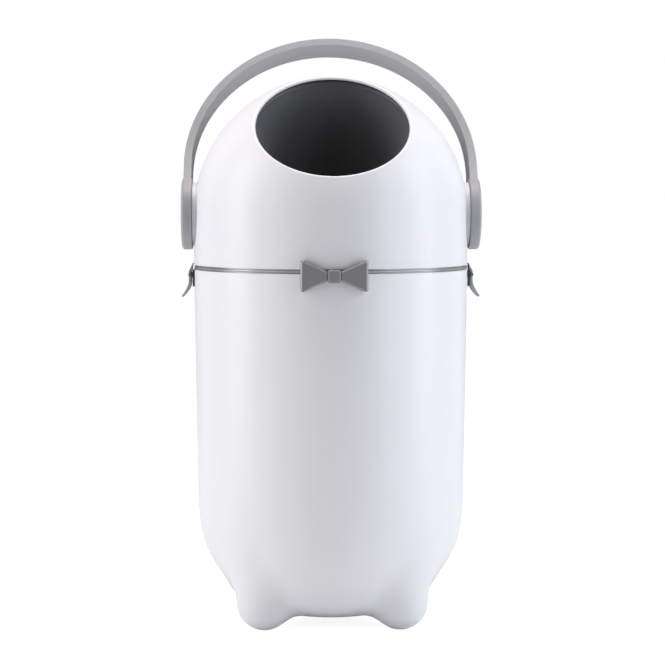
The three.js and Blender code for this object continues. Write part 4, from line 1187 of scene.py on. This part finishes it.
def moulded(name, colours, roughness, grain, depth, metallic=0):
    """A moulded surface: two close tones, gloss that wanders, and a fine grain."""
    material = bpy.data.materials.new(name)
    material.use_nodes = True
    tree = material.node_tree
    shader = tree.nodes["Principled BSDF"]
    shader.inputs["Metallic"].default_value = metallic
    place = add_node(tree, "ShaderNodeTexCoord").outputs["Object"]
    slow = add_node(tree, "ShaderNodeTexNoise", {"Vector": place, "Scale": 1 / MOTTLE, "Detail": 3})
    fine = add_node(tree, "ShaderNodeTexNoise", {"Vector": place, "Scale": 1 / grain, "Detail": 2})
    tone = add_node(tree, "ShaderNodeMix", data_type="RGBA")
    tone.inputs[6].default_value = linear(colours[0])
    tone.inputs[7].default_value = linear(colours[1])
    gloss = add_node(tree, "ShaderNodeMapRange", {
        "Value": slow.outputs["Fac"], "To Min": roughness[0], "To Max": roughness[1],
    })
    relief = {"Height": fine.outputs["Fac"], "Strength": 1, "Distance": depth}
    bump = add_node(tree, "ShaderNodeBump", relief)
    tree.links.new(slow.outputs["Fac"], tone.inputs[0])
    tree.links.new(tone.outputs[2], shader.inputs["Base Color"])
    tree.links.new(gloss.outputs["Result"], shader.inputs["Roughness"])
    tree.links.new(bump.outputs["Normal"], shader.inputs["Normal"])
    return material


# %% The materials
# White polypropylene from a polished mould: a satin gloss spreads the lamps into broad pale bands.
white = moulded("polypropylene_white", ("#EEEEF1", "#F1F1F4"), (0.34, 0.42), 1.6 * MM, 0.006 * MM)
# Grey ABS from an etched mould: faces stay even, only the rounded edges catch a soft light line.
grey = moulded("abs_grey_matt", ("#A3A3A6", "#A8A8AB"), (0.42, 0.52), 1.0 * MM, 0.012 * MM)
# Satin silver paint on the ring: mostly metal, it mirrors the dark front and the lamps at its sides.
silver = moulded("silver_paint", ("#9E9EA1", "#A4A4A7"), (0.32, 0.38), 1.0 * MM, 0.004 * MM, metallic=0.7)
# Painted shade on the brackets: a near-black that stands for the shadow in the gaps above and
# below the clip's pin. It is dark enough for the light gap beside the lever to show.
bracket_shade = moulded("nylon_black", ("#2E2E30", "#343436"), (0.4, 0.5), 1.2 * MM, 0.01 * MM)
# Darker, polished ABS for the bow: its chamfers and rounded edges mirror the lamps as light lines.
bow_grey = moulded("abs_grey_dark", ("#88888B", "#8D8D90"), (0.22, 0.28), 1.0 * MM, 0.004 * MM)
# Charcoal polypropylene with little gloss: the drum reads as a dark hollow in its own shade.
charcoal = moulded("polypropylene_charcoal", ("#646467", "#69696C"), (0.45, 0.55), 1.2 * MM, 0.012 * MM)
# Soft rubber hardly shines at all, which sets the seals off from the hard plastic beside them.
rubber = moulded("rubber_grey", ("#4A4A4C", "#545456"), (0.7, 0.8), 0.8 * MM, 0.01 * MM)
# Natural acetal is a warm, slightly waxy white, a little yellower than the shell around it.
acetal = moulded("acetal_natural", ("#DEDCD4", "#E4E2DA"), (0.35, 0.45), 1.5 * MM, 0.004 * MM)
# Zinc-plated steel mirrors its surroundings through a fine haze.
steel = moulded("steel_zinc_plated", ("#B4B6BA", "#C2C3C4"), (0.28, 0.4), 0.6 * MM, 0.004 * MM, metallic=1)

FINISH_OF_SLOT = {
    "white": white, "grey": grey, "charcoal": charcoal, "rubber": rubber, "bearing": acetal, "steel": steel,
}
# The two brackets take the near-black painted shade instead of their slot's finish.
FINISH_OF_NODE = {
    "bow_wings": bow_grey, "bow_knot": bow_grey, "lid_ring": silver,
    "clip_bracket_left": bracket_shade, "clip_bracket_right": bracket_shade,
}
for node, piece in pieces.items():
    finish = FINISH_OF_NODE.get(node, FINISH_OF_SLOT[SLOT_OF[node]])
    piece.data.materials.clear()
    piece.data.materials.append(finish)
print("pieces finished:", len(pieces))

# %% [markdown]
# ## Stage and light
# The photograph shows white plastic on white: bright from both sides and quieter in
# front, so that the round body darkens softly towards its middle. That is the mark of two
# tall soft boxes that stand almost beside the bin, with weak ones in front and behind and
# a large one overhead. The floor and the world look white where they are seen directly,
# are weak in reflections, so that the bin keeps a thin darker outline against the white,
# and give no plain light: the bin is lit by the lamps alone. Near the bin the floor glows
# a little less, which leaves room for its shadow.

# %% Floor and world
FLOOR_SIZE = 12
FLOOR_DROP = 0.2 * MM
NEAR_GLOW = 0.86
FAR_GLOW = 1
GLOW_START = 0.2
GLOW_END = 0.9
MIRRORED_LEVEL = 0.15

pick_nothing()
bpy.ops.mesh.primitive_plane_add(size=FLOOR_SIZE, location=(0, 0, -FLOOR_DROP))
floor = bpy.context.object
floor.name = "floor"


def seen_directly(tree):
    """One where the camera or a see-through ray looks, little in reflections, none for plain light."""
    rays = add_node(tree, "ShaderNodeLightPath").outputs
    mirrored = {0: rays["Is Glossy Ray"], 1: MIRRORED_LEVEL, 2: rays["Is Camera Ray"]}
    both = add_node(tree, "ShaderNodeMath", mirrored, operation="MULTIPLY_ADD").outputs[0]
    seen = {0: both, 1: rays["Is Transmission Ray"]}
    return add_node(tree, "ShaderNodeMath", seen, operation="ADD", use_clamp=True).outputs[0]


paper = bpy.data.materials.new("paper_white")
paper.use_nodes = True
tree = paper.node_tree
place = add_node(tree, "ShaderNodeTexCoord").outputs["Object"]
distance = add_node(tree, "ShaderNodeVectorMath", {0: place}, operation="LENGTH").outputs["Value"]
rise = add_node(tree, "ShaderNodeMapRange", {
    "Value": distance, "From Min": GLOW_START, "From Max": GLOW_END,
    "To Min": NEAR_GLOW, "To Max": FAR_GLOW,
}, interpolation_type="SMOOTHSTEP")
parts = {0: seen_directly(tree), 1: rise.outputs["Result"]}
glow = add_node(tree, "ShaderNodeMath", parts, operation="MULTIPLY")
shader = tree.nodes["Principled BSDF"]
shader.inputs["Base Color"].default_value = linear("#F0F0F0")
shader.inputs["Roughness"].default_value = 0.9
shader.inputs["Specular IOR Level"].default_value = 0
shader.inputs["Emission Color"].default_value = (1, 1, 1, 1)
tree.links.new(glow.outputs[0], shader.inputs["Emission Strength"])
floor.data.materials.append(paper)

world = bpy.data.worlds.new("studio")
bpy.context.scene.world = world
world.use_nodes = True
tree = world.node_tree
tree.links.new(seen_directly(tree), tree.nodes["Background"].inputs["Strength"])
tree.nodes["Background"].inputs["Color"].default_value = (1, 1, 1, 1)
print("floor's glow near and far:", NEAR_GLOW, FAR_GLOW)

# %% Lamps
BOX_DISTANCE = 1.5
BOX_HEIGHT = 0.7
BOX_TARGET = Vector((0, 0, 0.35))
BOX_SIZE = (0.5, 1.6)
TOP_HEIGHT = 2.0
TOP_SIZE = (1.2, 1.2)
TOP_POWER = 22.5
NEUTRAL = (1, 1, 1.03)
COOL = (0.95, 1, 1.07)
WARM = (1.07, 1, 0.98)
STANDING_BOXES = {
    "box_left": (-80, 14.5, NEUTRAL), "box_right": (80, 12, COOL),
    "box_front_left": (-50, 3.5, NEUTRAL), "box_front_right": (50, 6.1, COOL),
    "box_back_left": (-130, 1.4, NEUTRAL), "box_back_right": (130, 1.9, NEUTRAL),
}


def soft_box(name, place, size, power, colour):
    """A rectangular lamp that faces the bin's middle."""
    lamp = bpy.data.lights.new(name, "AREA")
    lamp.shape = "RECTANGLE"
    lamp.size, lamp.size_y = size
    lamp.energy = power
    lamp.color = colour
    box = bpy.data.objects.new(name, lamp)
    box.location = place
    box.rotation_euler = (BOX_TARGET - place).to_track_quat("-Z", "Y").to_euler()
    bpy.context.scene.collection.objects.link(box)


for name, (degrees, power, colour) in STANDING_BOXES.items():
    angle = math.radians(degrees)
    place = Vector((BOX_DISTANCE * math.sin(angle), -BOX_DISTANCE * math.cos(angle), BOX_HEIGHT))
    soft_box(name, place, BOX_SIZE, power, colour)
soft_box("box_top", Vector((0, 0, TOP_HEIGHT)), TOP_SIZE, TOP_POWER, WARM)
print("lamps:", len(STANDING_BOXES) + 1)
bpy.context.scene.view_settings.view_transform = "Standard"

low, high = cad_box
print("CAD box:", [round(v / MM, 1) for v in (*low, *high)])
